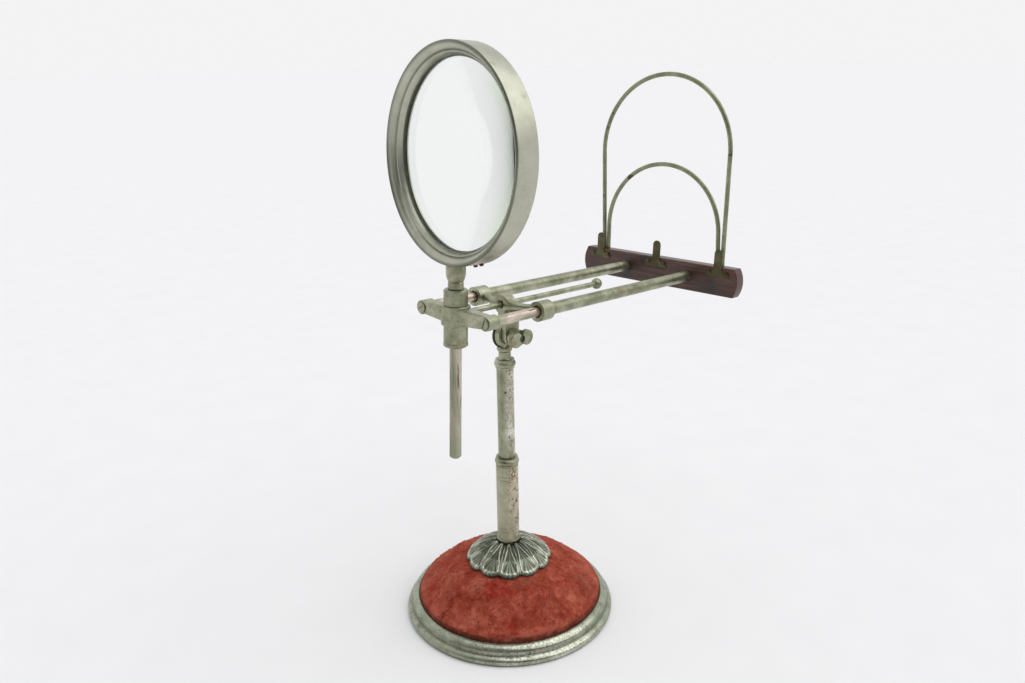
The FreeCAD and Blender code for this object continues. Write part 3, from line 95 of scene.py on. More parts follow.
def new_material(name):
    """Empty node material with its Principled shader, output and Object coordinates."""
    made = bpy.data.materials.new(name)
    made.use_nodes = True
    tree = made.node_tree
    tree.nodes.clear()
    shader = add(tree, "BsdfPrincipled")
    add(tree, "OutputMaterial", {"Surface": shader.outputs["BSDF"]})
    place = add(tree, "TexCoord").outputs["Object"]
    return made, tree, shader, place


def spots(tree, place, size_mm, low, high, detail=2.0, roughness=0.5, offset=0.0):
    """Soft-edged patches of a noise: 0 below the low level, 1 above the high one."""
    if offset:
        place = add(tree, "VectorMath", {0: place, 1: (offset, offset, offset)}, out="Vector")
    cloud = add(tree, "TexNoise", {"Vector": place, "Scale": every(size_mm), "Detail": detail,
                                   "Roughness": roughness})
    return add(tree, "MapRange",
               {"Value": cloud.outputs["Fac"], "From Min": low, "From Max": high},
               interpolation_type="SMOOTHSTEP").outputs["Result"]


# ---- places that finishes follow ------------------------------------------------------------
TILT = math.radians(-3.1)       # the head hangs a little low at the card end
LENS_TURN = math.radians(-6.3)  # the lens is turned a little on its post
LENS_TURNED = Matrix.Rotation(TILT, 4, "X") @ Matrix.Rotation(LENS_TURN, 4, "Z")
GLASS_LOW, GLASS_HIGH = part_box("lens_glass")
LENS_CENTRE = (GLASS_LOW + GLASS_HIGH) / 2
UPRIGHT = Matrix.Rotation(math.radians(90), 4, "X")   # turns rings about Y to rings about Z
WORN_AND_LIT_SIDE = (0.72, 0.69, 0.0)   # the column is worn on this side and painted lighter there as a highlight


def along(tree, place, direction, start_mm, end_mm):
    """Share that goes from 0 to 1 along a direction, between two distances from the origin."""
    reach = add(tree, "VectorMath", {0: place, 1: direction}, operation="DOT_PRODUCT")
    return add(tree, "MapRange", {"Value": reach.outputs["Value"], "From Min": start_mm * MM,
                                  "From Max": end_mm * MM},
               interpolation_type="SMOOTHSTEP").outputs["Result"]


def ring_share(tree, place, centre, turned, low_mm, high_mm, levels):
    """Share that depends on the distance from an axis along Y; levels are (mm, grey) pairs."""
    local = add(tree, "Mapping", {"Vector": place, "Location": centre,
                                  "Rotation": turned.to_euler("XYZ")}, vector_type="TEXTURE")
    flat = add(tree, "VectorMath", {0: local.outputs["Vector"], 1: (1.0, 0.0, 1.0)},
               operation="MULTIPLY")
    radius = add(tree, "VectorMath", {0: flat.outputs["Vector"]}, operation="LENGTH")
    share = add(tree, "MapRange", {"Value": radius.outputs["Value"], "From Min": low_mm * MM,
                                   "From Max": high_mm * MM}).outputs["Result"]
    stops = [((mm - low_mm) / (high_mm - low_mm), grey) for mm, grey in levels]
    return add(tree, "ValToRGB", {"Fac": share}, stops=stops).outputs["Color"]


# ---- finishes -------------------------------------------------------------------------------
def plated_metal(name, tones, fleck="#6a6f5a", pit="#45453a", pit_levels=(0.64, 0.7), pit_mm=1.4,
                 bloom="#a3b59c", bloom_levels=(0.6, 0.8), bloom_mm=11.0, cloud_mm=16.0,
                 metallic=0.88, roughness=(0.26, 0.44), grain_mm=0.9, grain=0.16, stretch=None,
                 wear_and_highlight=None, wear_and_highlight_tones=None, wear_and_highlight_mm=7.0, pits_where_rubbed=False,
                 shade_and_grime="#41443a", rings=None, corner_shade_mm=3.0, cracks_mm=None,
                 mottle=0.5, mottle_mm=2.6):
    """Old nickel plate on brass: clouded tarnish, dark pits, a pale green bloom, painted shade in
    corners.

    The wear-and-highlight and rings arguments are functions that give, from (tree, place), the
    share of wear, on some finishes a painted highlight, and of painted shade with some dirt.
    """
    made, tree, shader, place = new_material(name)
    streaked = place
    if stretch:
        streaked = add(tree, "Mapping", {"Vector": place, "Scale": stretch}, out="Vector")
    cloud = add(tree, "TexNoise", {"Vector": streaked, "Scale": every(cloud_mm), "Detail": 7.0,
                                   "Roughness": 0.6}).outputs["Fac"]
    base = add(tree, "ValToRGB", {"Fac": cloud}, stops=tones).outputs["Color"]
    blooms = spots(tree, place, bloom_mm, *bloom_levels, detail=6.0)
    base = add(tree, "Mix", {0: blooms, 6: base, 7: colour(bloom)}, out=2, data_type="RGBA")
    flecks = spots(tree, streaked, mottle_mm, 0.5, 0.72, detail=8.0, roughness=0.75, offset=2.0)
    flecks = add(tree, "Math", {0: flecks, 1: mottle}, out=0, operation="MULTIPLY")
    base = add(tree, "Mix", {0: flecks, 6: base, 7: colour(fleck)}, out=2, data_type="RGBA")
    pits = spots(tree, streaked, pit_mm, *pit_levels, detail=3.0)
    dullness = add(tree, "MapRange", {"Value": cloud, "To Min": roughness[0],
                                      "To Max": roughness[1]}).outputs["Result"]
    if cracks_mm:
        wander = add(tree, "TexNoise", {"Vector": place, "Scale": every(5.0), "Detail": 4.0})
        wander = add(tree, "VectorMath", {0: wander.outputs["Color"], "Scale": 4.0 * MM},
                     out="Vector", operation="SCALE")
        bent = add(tree, "VectorMath", {0: streaked, 1: wander}, out="Vector")
        gap = add(tree, "TexVoronoi", {"Vector": bent, "Scale": every(cracks_mm)},
                  feature="DISTANCE_TO_EDGE").outputs["Distance"]
        lines = add(tree, "MapRange", {"Value": gap, "From Min": 0.1, "From Max": 0.03},
                    out="Result")
        damp = spots(tree, place, 9.0, 0.46, 0.56, detail=3.0)
        lines = add(tree, "Math", {0: lines, 1: damp}, out=0, operation="MULTIPLY")
        pits = add(tree, "Math", {0: pits, 1: lines}, operation="MAXIMUM").outputs["Value"]
    # wear, and on some finishes a painted highlight: lighter, smoother patches where the share is
    # high
    if wear_and_highlight:
        patches = spots(tree, streaked, wear_and_highlight_mm, 0.36, 0.52, detail=5.0)
        worn_and_lit = wear_and_highlight(tree, place)
        share = add(tree, "Math", {0: worn_and_lit, 1: patches}, out=0, operation="MULTIPLY")
        bright = add(tree, "ValToRGB", {"Fac": cloud}, stops=wear_and_highlight_tones).outputs["Color"]
        base = add(tree, "Mix", {0: share, 6: base, 7: bright}, out=2, data_type="RGBA")
        polish = add(tree, "Math", {0: share, 1: 0.14}, out=0, operation="MULTIPLY")
        dullness = add(tree, "Math", {0: dullness, 1: polish}, out=0, operation="SUBTRACT")
        if pits_where_rubbed:
            pits = add(tree, "Math", {0: worn_and_lit, 1: pits}, out=0, operation="MULTIPLY")
    base = add(tree, "Mix", {0: pits, 6: base, 7: colour(pit)}, out=2, data_type="RGBA")
    # painted shade, with some dirt, where the rings share is high
    if rings:
        shade_and_dirt = rings(tree, place)
        base = add(tree, "Mix", {0: shade_and_dirt, 6: base, 7: colour(shade_and_grime)}, out=2, data_type="RGBA")
    # painted shade: darker in corners and in gaps between parts, found by ambient occlusion
    open_air = add(tree, "AmbientOcclusion", {"Distance": corner_shade_mm * MM}, out="AO", samples=6)
    corner_shade = add(tree, "MapRange", {"Value": open_air, "From Min": 0.72, "From Max": 0.2,
                                     "To Max": 0.75}).outputs["Result"]
    base = add(tree, "Mix", {0: corner_shade, 6: base, 7: colour(shade_and_grime)}, out=2, data_type="RGBA")
    fine = add(tree, "TexNoise", {"Vector": place, "Scale": every(grain_mm), "Detail": 3.0},
               out="Fac")
    sunk = add(tree, "Math", {0: fine, 1: pits}, operation="SUBTRACT").outputs["Value"]
    relief = add(tree, "Bump", {"Height": sunk, "Strength": grain, "Distance": 0.3 * MM})
    shader.inputs["Metallic"].default_value = metallic
    for place_name, socket in (("Base Color", base), ("Roughness", dullness),
                               ("Normal", relief.outputs["Normal"])):
        tree.links.new(socket, shader.inputs[place_name])
    return made


GREEN_GREY = [(0.3, "#72765f"), (0.44, "#92957b"), (0.58, "#a9ab93"), (0.72, "#bcbda9")]

# cast and turned brass, nickel plated and gone green-grey all over, with brownish patches
tarnished_nickel = plated_metal("tarnished_nickel_plate", GREEN_GREY, bloom="#8d8567",
                                bloom_levels=(0.54, 0.74), bloom_mm=13.0)


def rim_rings(tree, place):
    """Painted shade rings on the bezel, with some dirt: outer bead, the groove at the foot of the
    cove, inner edge.
    """
    return ring_share(tree, place, LENS_CENTRE, LENS_TURNED, 75.0, 88.0,
                      [(75.9, "#d8d8d8"), (76.3, "#303030"), (78.9, "#202020"), (79.8, "#d0d0d0"),
                       (80.9, "#404040"), (83.9, "#303030"), (84.8, "#989898"), (86.0, "#e0e0e0"),
                       (87.3, "#e8e8e8"), (87.6, "#000000")])


# the rim is spun and plated: smoother, greyer, a few dark pits, and painted shade in rings round
# the lens
rim_nickel = plated_metal("rim_nickel_plate",
                          [(0.3, "#a2a492"), (0.5, "#b4b5a4"), (0.7, "#bfbfb0")],
                          fleck="#8b8c7b", mottle=0.3, mottle_mm=5.0, bloom="#9c9a82",
                          pit="#5d5a4a", pit_levels=(0.735, 0.77), pit_mm=2.2,
                          roughness=(0.3, 0.38), grain=0.05, cloud_mm=30.0, shade_and_grime="#56604e",
                          rings=rim_rings, corner_shade_mm=1.0)


def foot_rings(tree, place):
    """Painted shade in the hollow of the foot and along the velvet's edge, round the upright axis.
    """
    return ring_share(tree, place, (0, 0, 0), UPRIGHT, 85.0, 101.0,
                      [(88.9, "#f0f0f0"), (89.5, "#202020"), (91.5, "#000000"), (94.3, "#404040"),
                       (95.7, "#b0b0b0"), (97.0, "#404040"), (98.2, "#000000")])


# foot ring: cast, mottled, green bloom along its edge, with painted shade in its hollow and
# painted highlights high on the roll on the +X, -Y side
foot_casting = plated_metal("foot_ring_nickel_plate",
                            [(0.3, "#80856f"), (0.46, "#999d89"), (0.6, "#a9ad99"),
                             (0.75, "#b9bcaa")],
                            fleck="#6d7462", mottle=0.6, mottle_mm=3.2, bloom="#8aa68e",
                            bloom_levels=(0.54, 0.76), bloom_mm=15.0, cloud_mm=12.0,
                            pit="#5a5e4d", pit_levels=(0.62, 0.68), pit_mm=1.6,
                            roughness=(0.2, 0.4), grain_mm=1.5, grain=0.5, shade_and_grime="#4a4438",
                            rings=foot_rings,
                            # painted highlight: lighter and smoother high on the roll on the +X,
                            # -Y side
                            wear_and_highlight=lambda tree, place: along(tree, place, (0.75, -0.45, 0.6),
                                                             68.0, 88.0),
                            wear_and_highlight_tones=[(0.3, "#979a86"), (0.62, "#cdcebf")], wear_and_highlight_mm=2.2)


def relief_share(tree, low, high, amount):
    """Share from the rosette's own relief: 0 at the low height, the amount at the high."""
    relief = add(tree, "Attribute", attribute_name="relief").outputs["Fac"]
    return add(tree, "MapRange", {"Value": relief, "From Min": low, "From Max": high,
                                  "To Max": amount},
               out="Result", interpolation_type="SMOOTHSTEP")


# rosette: die-cast soft metal, with painted shade in every flute and painted highlights on the
# ribs
rosette_metal = plated_metal("rosette_white_metal",
                             [(0.3, "#6f7463"), (0.5, "#838776"), (0.7, "#969988")],
                             bloom="#7d9383", bloom_levels=(0.55, 0.78), bloom_mm=12.0,
                             metallic=0.8, roughness=(0.26, 0.38), grain=0.12, shade_and_grime="#3d4035",
                             # painted shade in the flutes, from the relief height
                             rings=lambda tree, place: relief_share(tree, 0.38, 0.1, 0.85),
                             # painted highlight on the ribs, from the relief height
                             wear_and_highlight=lambda tree, place: relief_share(tree, 0.55, 0.95, 1.0),
                             wear_and_highlight_tones=[(0.3, "#a9ab98"), (0.5, "#c4c5b4"), (0.7, "#dcdccd")],
                             wear_and_highlight_mm=5.0)
# rods rubbed by the sliding parts: paler and warmer, dark streaks along the rod
rod_nickel = plated_metal("rubbed_rod_nickel_plate", GREEN_GREY, pit="#4a3a30",
                          pit_levels=(0.56, 0.64), pit_mm=2.6, stretch=(1.0, 0.14, 1.0),
                          metallic=0.75, roughness=(0.3, 0.44), wear_and_highlight_mm=4.0,
                          wear_and_highlight=lambda tree, place: along(tree, place, (0, 1, 0), -43.0, -37.0),
                          wear_and_highlight_tones=[(0.3, "#a08d80"), (0.5, "#c7b4a6"), (0.7, "#dccfc4")],
                          pits_where_rubbed=True)
# lens post: greenish at its foot, rubbed beige under the sleeve
post_nickel = plated_metal("rubbed_post_nickel_plate", GREEN_GREY, pit="#6d6354",
                           pit_levels=(0.62, 0.7), pit_mm=3.0, stretch=(1.0, 1.0, 0.1),
                           metallic=0.8, roughness=(0.3, 0.4), wear_and_highlight_mm=12.0,
                           wear_and_highlight=lambda tree, place: along(tree, place, (0, 0, 1), 185.0, 228.0),
                           wear_and_highlight_tones=[(0.3, "#a39788"), (0.5, "#c2b6a8"), (0.7, "#d3cac0")],
                           pits_where_rubbed=True)
# upper tube of the column: satin green-grey, silvery and pitted on the side that was handled, and
# painted lighter there as a highlight
upper_column_nickel = plated_metal("worn_and_lit_column_nickel_plate", GREEN_GREY, pit="#40342a",
                                   pit_levels=(0.58, 0.63), pit_mm=1.3, stretch=(1.0, 1.0, 0.75),
                                   metallic=0.75, roughness=(0.3, 0.42), wear_and_highlight_mm=9.0,
                                   # part wear, part painted highlight, towards this side
                                   wear_and_highlight=lambda tree, place: along(tree, place, WORN_AND_LIT_SIDE,
                                                                    -3.0, 4.0),
                                   wear_and_highlight_tones=[(0.3, "#9f9a86"), (0.5, "#b7b2a0"),
                                                 (0.7, "#dedbd2")],
                                   pits_where_rubbed=True)
# lower tube: the same plate, with fine brown cracks where damp got under it, and lighter on the
# same side as the upper tube: part wear, part painted highlight
lower_column_nickel = plated_metal("cracked_column_nickel_plate",
                                   [(0.3, "#96967c"), (0.5, "#aaaa90"), (0.7, "#b9b8a2")],
                                   pit="#5a4230", pit_levels=(0.66, 0.7), pit_mm=2.0,
                                   cracks_mm=4.6,
                                   stretch=(1.0, 1.0, 0.8), metallic=0.7, roughness=(0.34, 0.46),
                                   wear_and_highlight_mm=8.0,
                                   # part wear, part painted highlight, towards this side
                                   wear_and_highlight=lambda tree, place: along(tree, place, WORN_AND_LIT_SIDE,
                                                                    -3.0, 5.0),
                                   wear_and_highlight_tones=[(0.3, "#a89c86"), (0.5, "#bdb29c"),
                                                 (0.7, "#cbc2b0")],
                                   pits_where_rubbed=True)
# drawn wire, plated thinly: dull olive grey with brown patches
wire_nickel = plated_metal("card_wire_nickel_plate",
                           [(0.3, "#74765c"), (0.5, "#8e9274"), (0.7, "#a1a58a")],
                           pit="#5c4a38", pit_levels=(0.6, 0.72), pit_mm=10.0, bloom="#96b096",
                           bloom_levels=(0.66, 0.8), bloom_mm=9.0, roughness=(0.36, 0.5))
# clips: lacquered brass sheet gone dark
aged_brass = plated_metal("aged_brass_sheet",
                          [(0.3, "#3f3a27"), (0.5, "#565038"), (0.7, "#6f684c")],
                          pit="#2a2218", bloom="#6f7a5c", metallic=0.75, roughness=(0.36, 0.52),
                          shade_and_grime="#221d15")
# bushes: brass turned bright in the lathe, gone a dull gold
bush_brass = plated_metal("turned_brass_bush",
                          [(0.3, "#8a6f3c"), (0.5, "#a58a50"), (0.7, "#b99f66")],
                          pit="#4a3a20", bloom="#8f9a70", metallic=0.95, roughness=(0.25, 0.4))
# rim screws: steel with a thin copper coat, dark red
copper_red = plated_metal("coppered_steel_screw",
                          [(0.3, "#5a1f24"), (0.5, "#7d2d33"), (0.7, "#9a4440")],
                          pit="#2a1414", bloom="#7a4a40", metallic=0.8, roughness=(0.3, 0.45),
                          shade_and_grime="#2a1414")
# plain screws: cut steel, oiled and browned
steel = plated_metal("dark_steel_screw",
                     [(0.3, "#3c3a34"), (0.5, "#57544a"), (0.7, "#777265")],
                     pit="#2b1d14", bloom="#6a5a44", metallic=0.9, roughness=(0.35, 0.5))


def dark_wood():
    """Mahogany, polished long ago: fine dark grain along the bar and a greyish worn polish."""
    made, tree, shader, place = new_material("polished_mahogany")
    drawn = add(tree, "Mapping", {"Vector": place, "Scale": (0.045, 1.0, 1.0)}, out="Vector")
    grain = add(tree, "TexNoise", {"Vector": drawn, "Scale": every(2.2), "Detail": 6.0,
                                   "Roughness": 0.65, "Distortion": 0.4}).outputs["Fac"]
    base = add(tree, "ValToRGB", {"Fac": grain},
               stops=[(0.3, "#21130d"), (0.48, "#3f2419"), (0.6, "#583020"), (0.75, "#6b3d28")])
    stain = spots(tree, place, 26.0, 0.5, 0.66, detail=4.0)
    base = add(tree, "Mix", {0: stain, 6: base.outputs["Color"], 7: colour("#271813")},
               out=2, data_type="RGBA")
    dust = spots(tree, place, 11.0, 0.56, 0.74, detail=5.0)
    dust = add(tree, "Math", {0: dust, 1: 0.35}, out=0, operation="MULTIPLY")
    base = add(tree, "Mix", {0: dust, 6: base, 7: colour("#67553f")}, out=2, data_type="RGBA")
    relief = add(tree, "Bump", {"Height": grain, "Strength": 0.25, "Distance": 0.25 * MM})
    dull = add(tree, "MapRange", {"Value": grain, "To Min": 0.5, "To Max": 0.32})
    shader.inputs["Coat Weight"].default_value = 0.25
    shader.inputs["Coat Roughness"].default_value = 0.3
    for name, socket in (("Base Color", base), ("Roughness", dull.outputs["Result"]),
                         ("Normal", relief.outputs["Normal"])):
        tree.links.new(socket, shader.inputs[name])
    return made


def core_wood():
    """Turned pine under the velvet: pale, with rings."""
    made, tree, shader, place = new_material("turned_pine")
    rings = add(tree, "TexWave", {"Vector": place, "Scale": every(9.0) / 20, "Distortion": 3.0,
                                  "Detail": 3.0}, bands_direction="X").outputs["Fac"]
    base = add(tree, "ValToRGB", {"Fac": rings}, stops=[(0.2, "#a5804f"), (0.8, "#c7a673")])
    tree.links.new(base.outputs["Color"], shader.inputs["Base Color"])
    shader.inputs["Roughness"].default_value = 0.75
    return made


def velvet():
    """Silk velvet on a padded dome: crimson pile gone brown and worn, painted paler as a sheen on
    the steep sides and raised tufts, and painted darker as shade in the tufts' hollows and at the
    edge.
    """
    made, tree, shader, place = new_material("crimson_silk_velvet")
    nap = add(tree, "TexNoise", {"Vector": place, "Scale": every(15.0), "Detail": 7.0,
                                 "Roughness": 0.66, "Distortion": 0.6}).outputs["Fac"]
    base = add(tree, "ValToRGB", {"Fac": nap},
               stops=[(0.3, "#6a2418"), (0.43, "#903a28"), (0.54, "#a04836"), (0.7, "#bd6c55")])
    crimson = spots(tree, place, 22.0, 0.5, 0.68, detail=7.0, roughness=0.7, offset=3.0)
    crimson = add(tree, "Math", {0: crimson, 1: 0.7}, out=0, operation="MULTIPLY")
    base = add(tree, "Mix", {0: crimson, 6: base.outputs["Color"], 7: colour("#9a2420")},
               out=2, data_type="RGBA")
    # painted sheen: paler towards the dome's steep outer sides, in patches
    painted_sheen_sides = ring_share(tree, place, (0, 0, 0), UPRIGHT, 40.0, 90.0,
                               [(58.0, "#000000"), (80.0, "#b0b0b0"), (87.0, "#d8d8d8")])
    sheen_patches = spots(tree, place, 19.0, 0.42, 0.62, detail=6.0, roughness=0.65, offset=5.0)
    painted_sheen_sides = add(tree, "Math", {0: painted_sheen_sides, 1: sheen_patches}, out=0, operation="MULTIPLY")
    base = add(tree, "Mix", {0: painted_sheen_sides, 6: base, 7: colour("#c46c57")},
               out=2, data_type="RGBA")
    worn = spots(tree, place, 26.0, 0.53, 0.74, detail=8.0, roughness=0.72, offset=7.0)
    worn = add(tree, "Math", {0: worn, 1: 0.9}, out=0, operation="MULTIPLY")
    base = add(tree, "Mix", {0: worn, 6: base, 7: colour("#7c4a38")}, out=2, data_type="RGBA")
    tufts = add(tree, "TexNoise", {"Vector": place, "Scale": every(4.0), "Detail": 7.0,
                                   "Roughness": 0.72, "Distortion": 1.0}).outputs["Fac"]
    # painted shade: darker where the tufts' bump sinks
    tuft_shade = add(tree, "MapRange", {"Value": tufts, "From Min": 0.5, "From Max": 0.34,
                                     "To Max": 0.55}, interpolation_type="SMOOTHSTEP")
    base = add(tree, "Mix", {0: tuft_shade.outputs["Result"], 6: base, 7: colour("#4e1a12")},
               out=2, data_type="RGBA")
    # painted sheen: paler pink where the tufts' bump stands up
    tuft_sheen = add(tree, "MapRange", {"Value": tufts, "From Min": 0.56, "From Max": 0.72,
                                     "To Max": 0.6}, interpolation_type="SMOOTHSTEP")
    base = add(tree, "Mix", {0: tuft_sheen.outputs["Result"], 6: base, 7: colour("#cc7a66")},
               out=2, data_type="RGBA")
    # painted shade: darker at the cloth's outer edge, where it tucks in by the foot ring
    edge = ring_share(tree, place, (0, 0, 0), UPRIGHT, 80.0, 90.0,
                      [(84.5, "#000000"), (86.6, "#606060"), (87.9, "#e0e0e0")])
    base = add(tree, "Mix", {0: edge, 6: base, 7: colour("#3a1a12")}, out=2, data_type="RGBA")
    pile = add(tree, "TexNoise", {"Vector": place, "Scale": every(1.1), "Detail": 3.0}, out="Fac")
    height = add(tree, "Math", {0: tufts, 1: pile}, operation="ADD").outputs["Value"]
    relief = add(tree, "Bump", {"Height": height, "Strength": 0.8, "Distance": 1.0 * MM})
    shader.inputs["Roughness"].default_value = 0.95
    shader.inputs["Specular IOR Level"].default_value = 0.1
    shader.inputs["Sheen Weight"].default_value = 0.3
    shader.inputs["Sheen Roughness"].default_value = 0.4
    shader.inputs["Sheen Tint"].default_value = colour("#ffa48c")
    tree.links.new(base, shader.inputs["Base Color"])
    tree.links.new(relief.outputs["Normal"], shader.inputs["Normal"])
    return made


def leather():
    """Black leather washer: fine pebbled grain, slightly shiny where it was pressed."""
    made, tree, shader, place = new_material("black_leather")
    cells = add(tree, "TexVoronoi", {"Vector": place, "Scale": every(0.9)}, out="Distance")
    base = add(tree, "ValToRGB", {"Fac": cells}, stops=[(0.1, "#14120f"), (0.7, "#2b2722")])
    relief = add(tree, "Bump", {"Height": cells, "Strength": 0.4, "Distance": 0.2 * MM})
    tree.links.new(base.outputs["Color"], shader.inputs["Base Color"])
    tree.links.new(relief.outputs["Normal"], shader.inputs["Normal"])
    shader.inputs["Roughness"].default_value = 0.55
    return made


def baize():
    """Green wool baize glued under the foot: short matted fibres."""
    made, tree, shader, place = new_material("green_wool_baize")
    fibres = add(tree, "TexNoise", {"Vector": place, "Scale": every(1.2), "Detail": 5.0,
                                    "Roughness": 0.7}).outputs["Fac"]
    base = add(tree, "ValToRGB", {"Fac": fibres}, stops=[(0.35, "#1f3a26"), (0.65, "#3c5f40")])
    relief = add(tree, "Bump", {"Height": fibres, "Strength": 0.6, "Distance": 0.4 * MM})
    tree.links.new(base.outputs["Color"], shader.inputs["Base Color"])
    tree.links.new(relief.outputs["Normal"], shader.inputs["Normal"])
    shader.inputs["Roughness"].default_value = 1.0
    shader.inputs["Sheen Weight"].default_value = 0.3
    return made


def glass():
    """Polished low-index crown glass, with a pale green tint painted near the edge on the +X side,
    for the green seen there through the glass's depth.
    """
    made, tree, shader, place = new_material("crown_glass")
    dust = add(tree, "TexNoise", {"Vector": place, "Scale": every(7.0), "Detail": 6.0}, out="Fac")
    rough = add(tree, "MapRange", {"Value": dust, "From Min": 0.5, "From Max": 0.8,
                                   "To Max": 0.03}).outputs["Result"]
    tree.links.new(rough, shader.inputs["Roughness"])
    edge = ring_share(tree, place, LENS_CENTRE, LENS_TURNED, 50.0, 81.0,
                      [(56.0, "#000000"), (70.0, "#b0b0b0"), (79.0, "#ffffff")])
    # painted green tint near the edge on the +X side
    right_side = along(tree, place, (1, 0, 0), 25.0, 55.0)
    painted_green_share = add(tree, "Math", {0: edge, 1: right_side}, out=0, operation="MULTIPLY")
    tint = add(tree, "Mix", {0: painted_green_share, 6: colour("#fdfffd"), 7: colour("#dcf7c9")},
               out=2, data_type="RGBA")
    tree.links.new(tint, shader.inputs["Base Color"])
    shader.inputs["IOR"].default_value = 1.45
    shader.inputs["Transmission Weight"].default_value = 1.0
    return made


def ground_edge():
    """The glass's edge, ground matt: pale green, made to glow a little as painted light, for light
    coming through the thickness of the glass.
    """
    made, tree, shader, place = new_material("ground_crown_glass_edge")
    scuffs = add(tree, "TexNoise", {"Vector": place, "Scale": every(2.5), "Detail": 4.0},
                 out="Fac")
    base = add(tree, "ValToRGB", {"Fac": scuffs}, stops=[(0.3, "#e4f3df"), (0.7, "#eef8ea")])
    tree.links.new(base.outputs["Color"], shader.inputs["Base Color"])
    # painted light: the edge glows with its own colour although it is no lamp
    tree.links.new(base.outputs["Color"], shader.inputs["Emission Color"])
    shader.inputs["Emission Strength"].default_value = 0.85
    shader.inputs["Roughness"].default_value = 0.7
    return made


finish_of_slot = {
    "foot_casting": foot_casting, "baize": baize(), "core_wood": core_wood(), "velvet": velvet(),
    "rosette_casting": rosette_metal, "tarnished_nickel": tarnished_nickel,
    "worn_nickel": rod_nickel, "rim_nickel": rim_nickel, "bush_brass": bush_brass, "steel": steel,
    "black_leather": leather(), "dark_wood": dark_wood(), "aged_brass": aged_brass,
    "wire_nickel": wire_nickel, "copper_red": copper_red, "lens_glass": glass(),
}


# ---- carried-over parts ---------------------------------------------------------------------
WELD_DISTANCE = 0.004 * MM
SHARP_ANGLE = math.radians(24)


def smooth_by_angle():
    """Modifier nodes that weld the loose triangles and smooth every edge under the angle."""
    group = bpy.data.node_groups.new("smooth_by_angle", "GeometryNodeTree")
    group.interface.new_socket("Geometry", in_out="INPUT", socket_type="NodeSocketGeometry")
    group.interface.new_socket("Geometry", in_out="OUTPUT", socket_type="NodeSocketGeometry")
    start = group.nodes.new("NodeGroupInput")
    weld = group.nodes.new("GeometryNodeMergeByDistance")
    weld.inputs["Distance"].default_value = WELD_DISTANCE
    faces = group.nodes.new("GeometryNodeSetShadeSmooth")
    faces.domain = "FACE"
    angle = group.nodes.new("GeometryNodeInputMeshEdgeAngle")
    sharp = group.nodes.new("FunctionNodeCompare")
    sharp.inputs[1].default_value = SHARP_ANGLE
    edges = group.nodes.new("GeometryNodeSetShadeSmooth")
    edges.domain = "EDGE"
    edges.inputs["Shade Smooth"].default_value = False
    end = group.nodes.new("NodeGroupOutput")
    for out_node, out_name, in_node, in_name in (
            (start, "Geometry", weld, "Geometry"), (weld, "Geometry", faces, "Geometry"),
            (faces, "Geometry", edges, "Geometry"), (angle, "Unsigned Angle", sharp, 0),
            (sharp, "Result", edges, "Selection"), (edges, "Geometry", end, "Geometry")):
        group.links.new(out_node.outputs[out_name], in_node.inputs[in_name])
    return group


smoothing = smooth_by_angle()
slot_of_node = {entry["node"]: entry["material_slot"] for entry in frame["record"]["subparts"]}

special_finish = {"upper_tube": upper_column_nickel, "lower_tube": lower_column_nickel,
                  "lens_post": post_nickel}
for name, part in parts.items():
    part.data.materials.clear()
    part.data.materials.append(special_finish.get(name) or finish_of_slot[slot_of_node[name]])
    part.modifiers.new("smooth", "NODES").node_group = smoothing


def finished(name, bm, material, body, slot, *replaced):
    """Object at the origin from a bmesh, riding on its body and standing for what it replaces."""
    mesh = bpy.data.meshes.new(name)
    bm.to_mesh(mesh)
    bm.free()
    mesh.polygons.foreach_set("use_smooth", [True] * len(mesh.polygons))
    mesh.materials.append(material)
    made = bpy.data.objects.new(name, mesh)
    bpy.context.scene.collection.objects.link(made)
    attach(made, body)
    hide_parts(*replaced)
    return made


def spun_profile(points, steps, axis=Z_AXIS, closed=False):
    """Bmesh spun once round an axis through the origin from a line of (x, y, z) points."""
    bm = bmesh.new()
    verts = [bm.verts.new(point) for point in points]
    pairs = list(zip(verts, verts[1:])) + ([(verts[-1], verts[0])] if closed else [])
    edges = [bm.edges.new(pair) for pair in pairs]
    bmesh.ops.spin(bm, geom=verts + edges, cent=(0, 0, 0), axis=axis, angle=2 * math.pi,
                   steps=steps, use_merge=True, use_duplicate=False)
    bmesh.ops.remove_doubles(bm, verts=bm.verts, dist=0.01 * MM)
    return bm


# ---- the dome's curve -----------------------------------------------------------------------
DOME_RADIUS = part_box("velvet_cover")[1].x
DOME_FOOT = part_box("foot_ring")[1].z
DOME_RISE = 41.0 * MM
DOME_FULLNESS = 0.7


def dome_height(radius):
    """Height of the cloth above the table, at a distance from the column."""
    share = min(radius / DOME_RADIUS, 1.0)
    return DOME_FOOT + DOME_RISE * (1 - share ** 2) ** DOME_FULLNESS


# ---- rosette --------------------------------------------------------------------------------
ROSETTE_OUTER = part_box("rosette")[1].x
ROSETTE_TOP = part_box("rosette")[1].z
ROSETTE_INNER = 10.8 * MM
ROSETTE_CROWN = 12.0 * MM
ROSETTE_CURVE = 1.6
ROSETTE_EDGE_THICKNESS = 1.55 * MM
ROSETTE_UNDERCUT = 1.0 * MM      # how much thicker it is at the column than at its edge
ROSETTE_RINGS = 84               # rings of faces from the column to the edge
ROSETTE_STEPS = 36               # faces round each lobe
ROSETTE_BODY = 1.3 * MM          # flat ground that the relief stands on, below the top
LOBES = 12
LOBE_DEPTH = 2.8 * MM
RELIEF_DEPTH = 1.4               # highest rib above the ground, in mm


def ridge(offset, width):
    """Rounded ridge of height 1 at offset 0."""
    return math.exp(-(offset / width) ** 2)


def eased(value, start, end):
    """0 before start, 1 after end, and a straight ramp between."""
    return min(max((value - start) / (end - start), 0.0), 1.0)


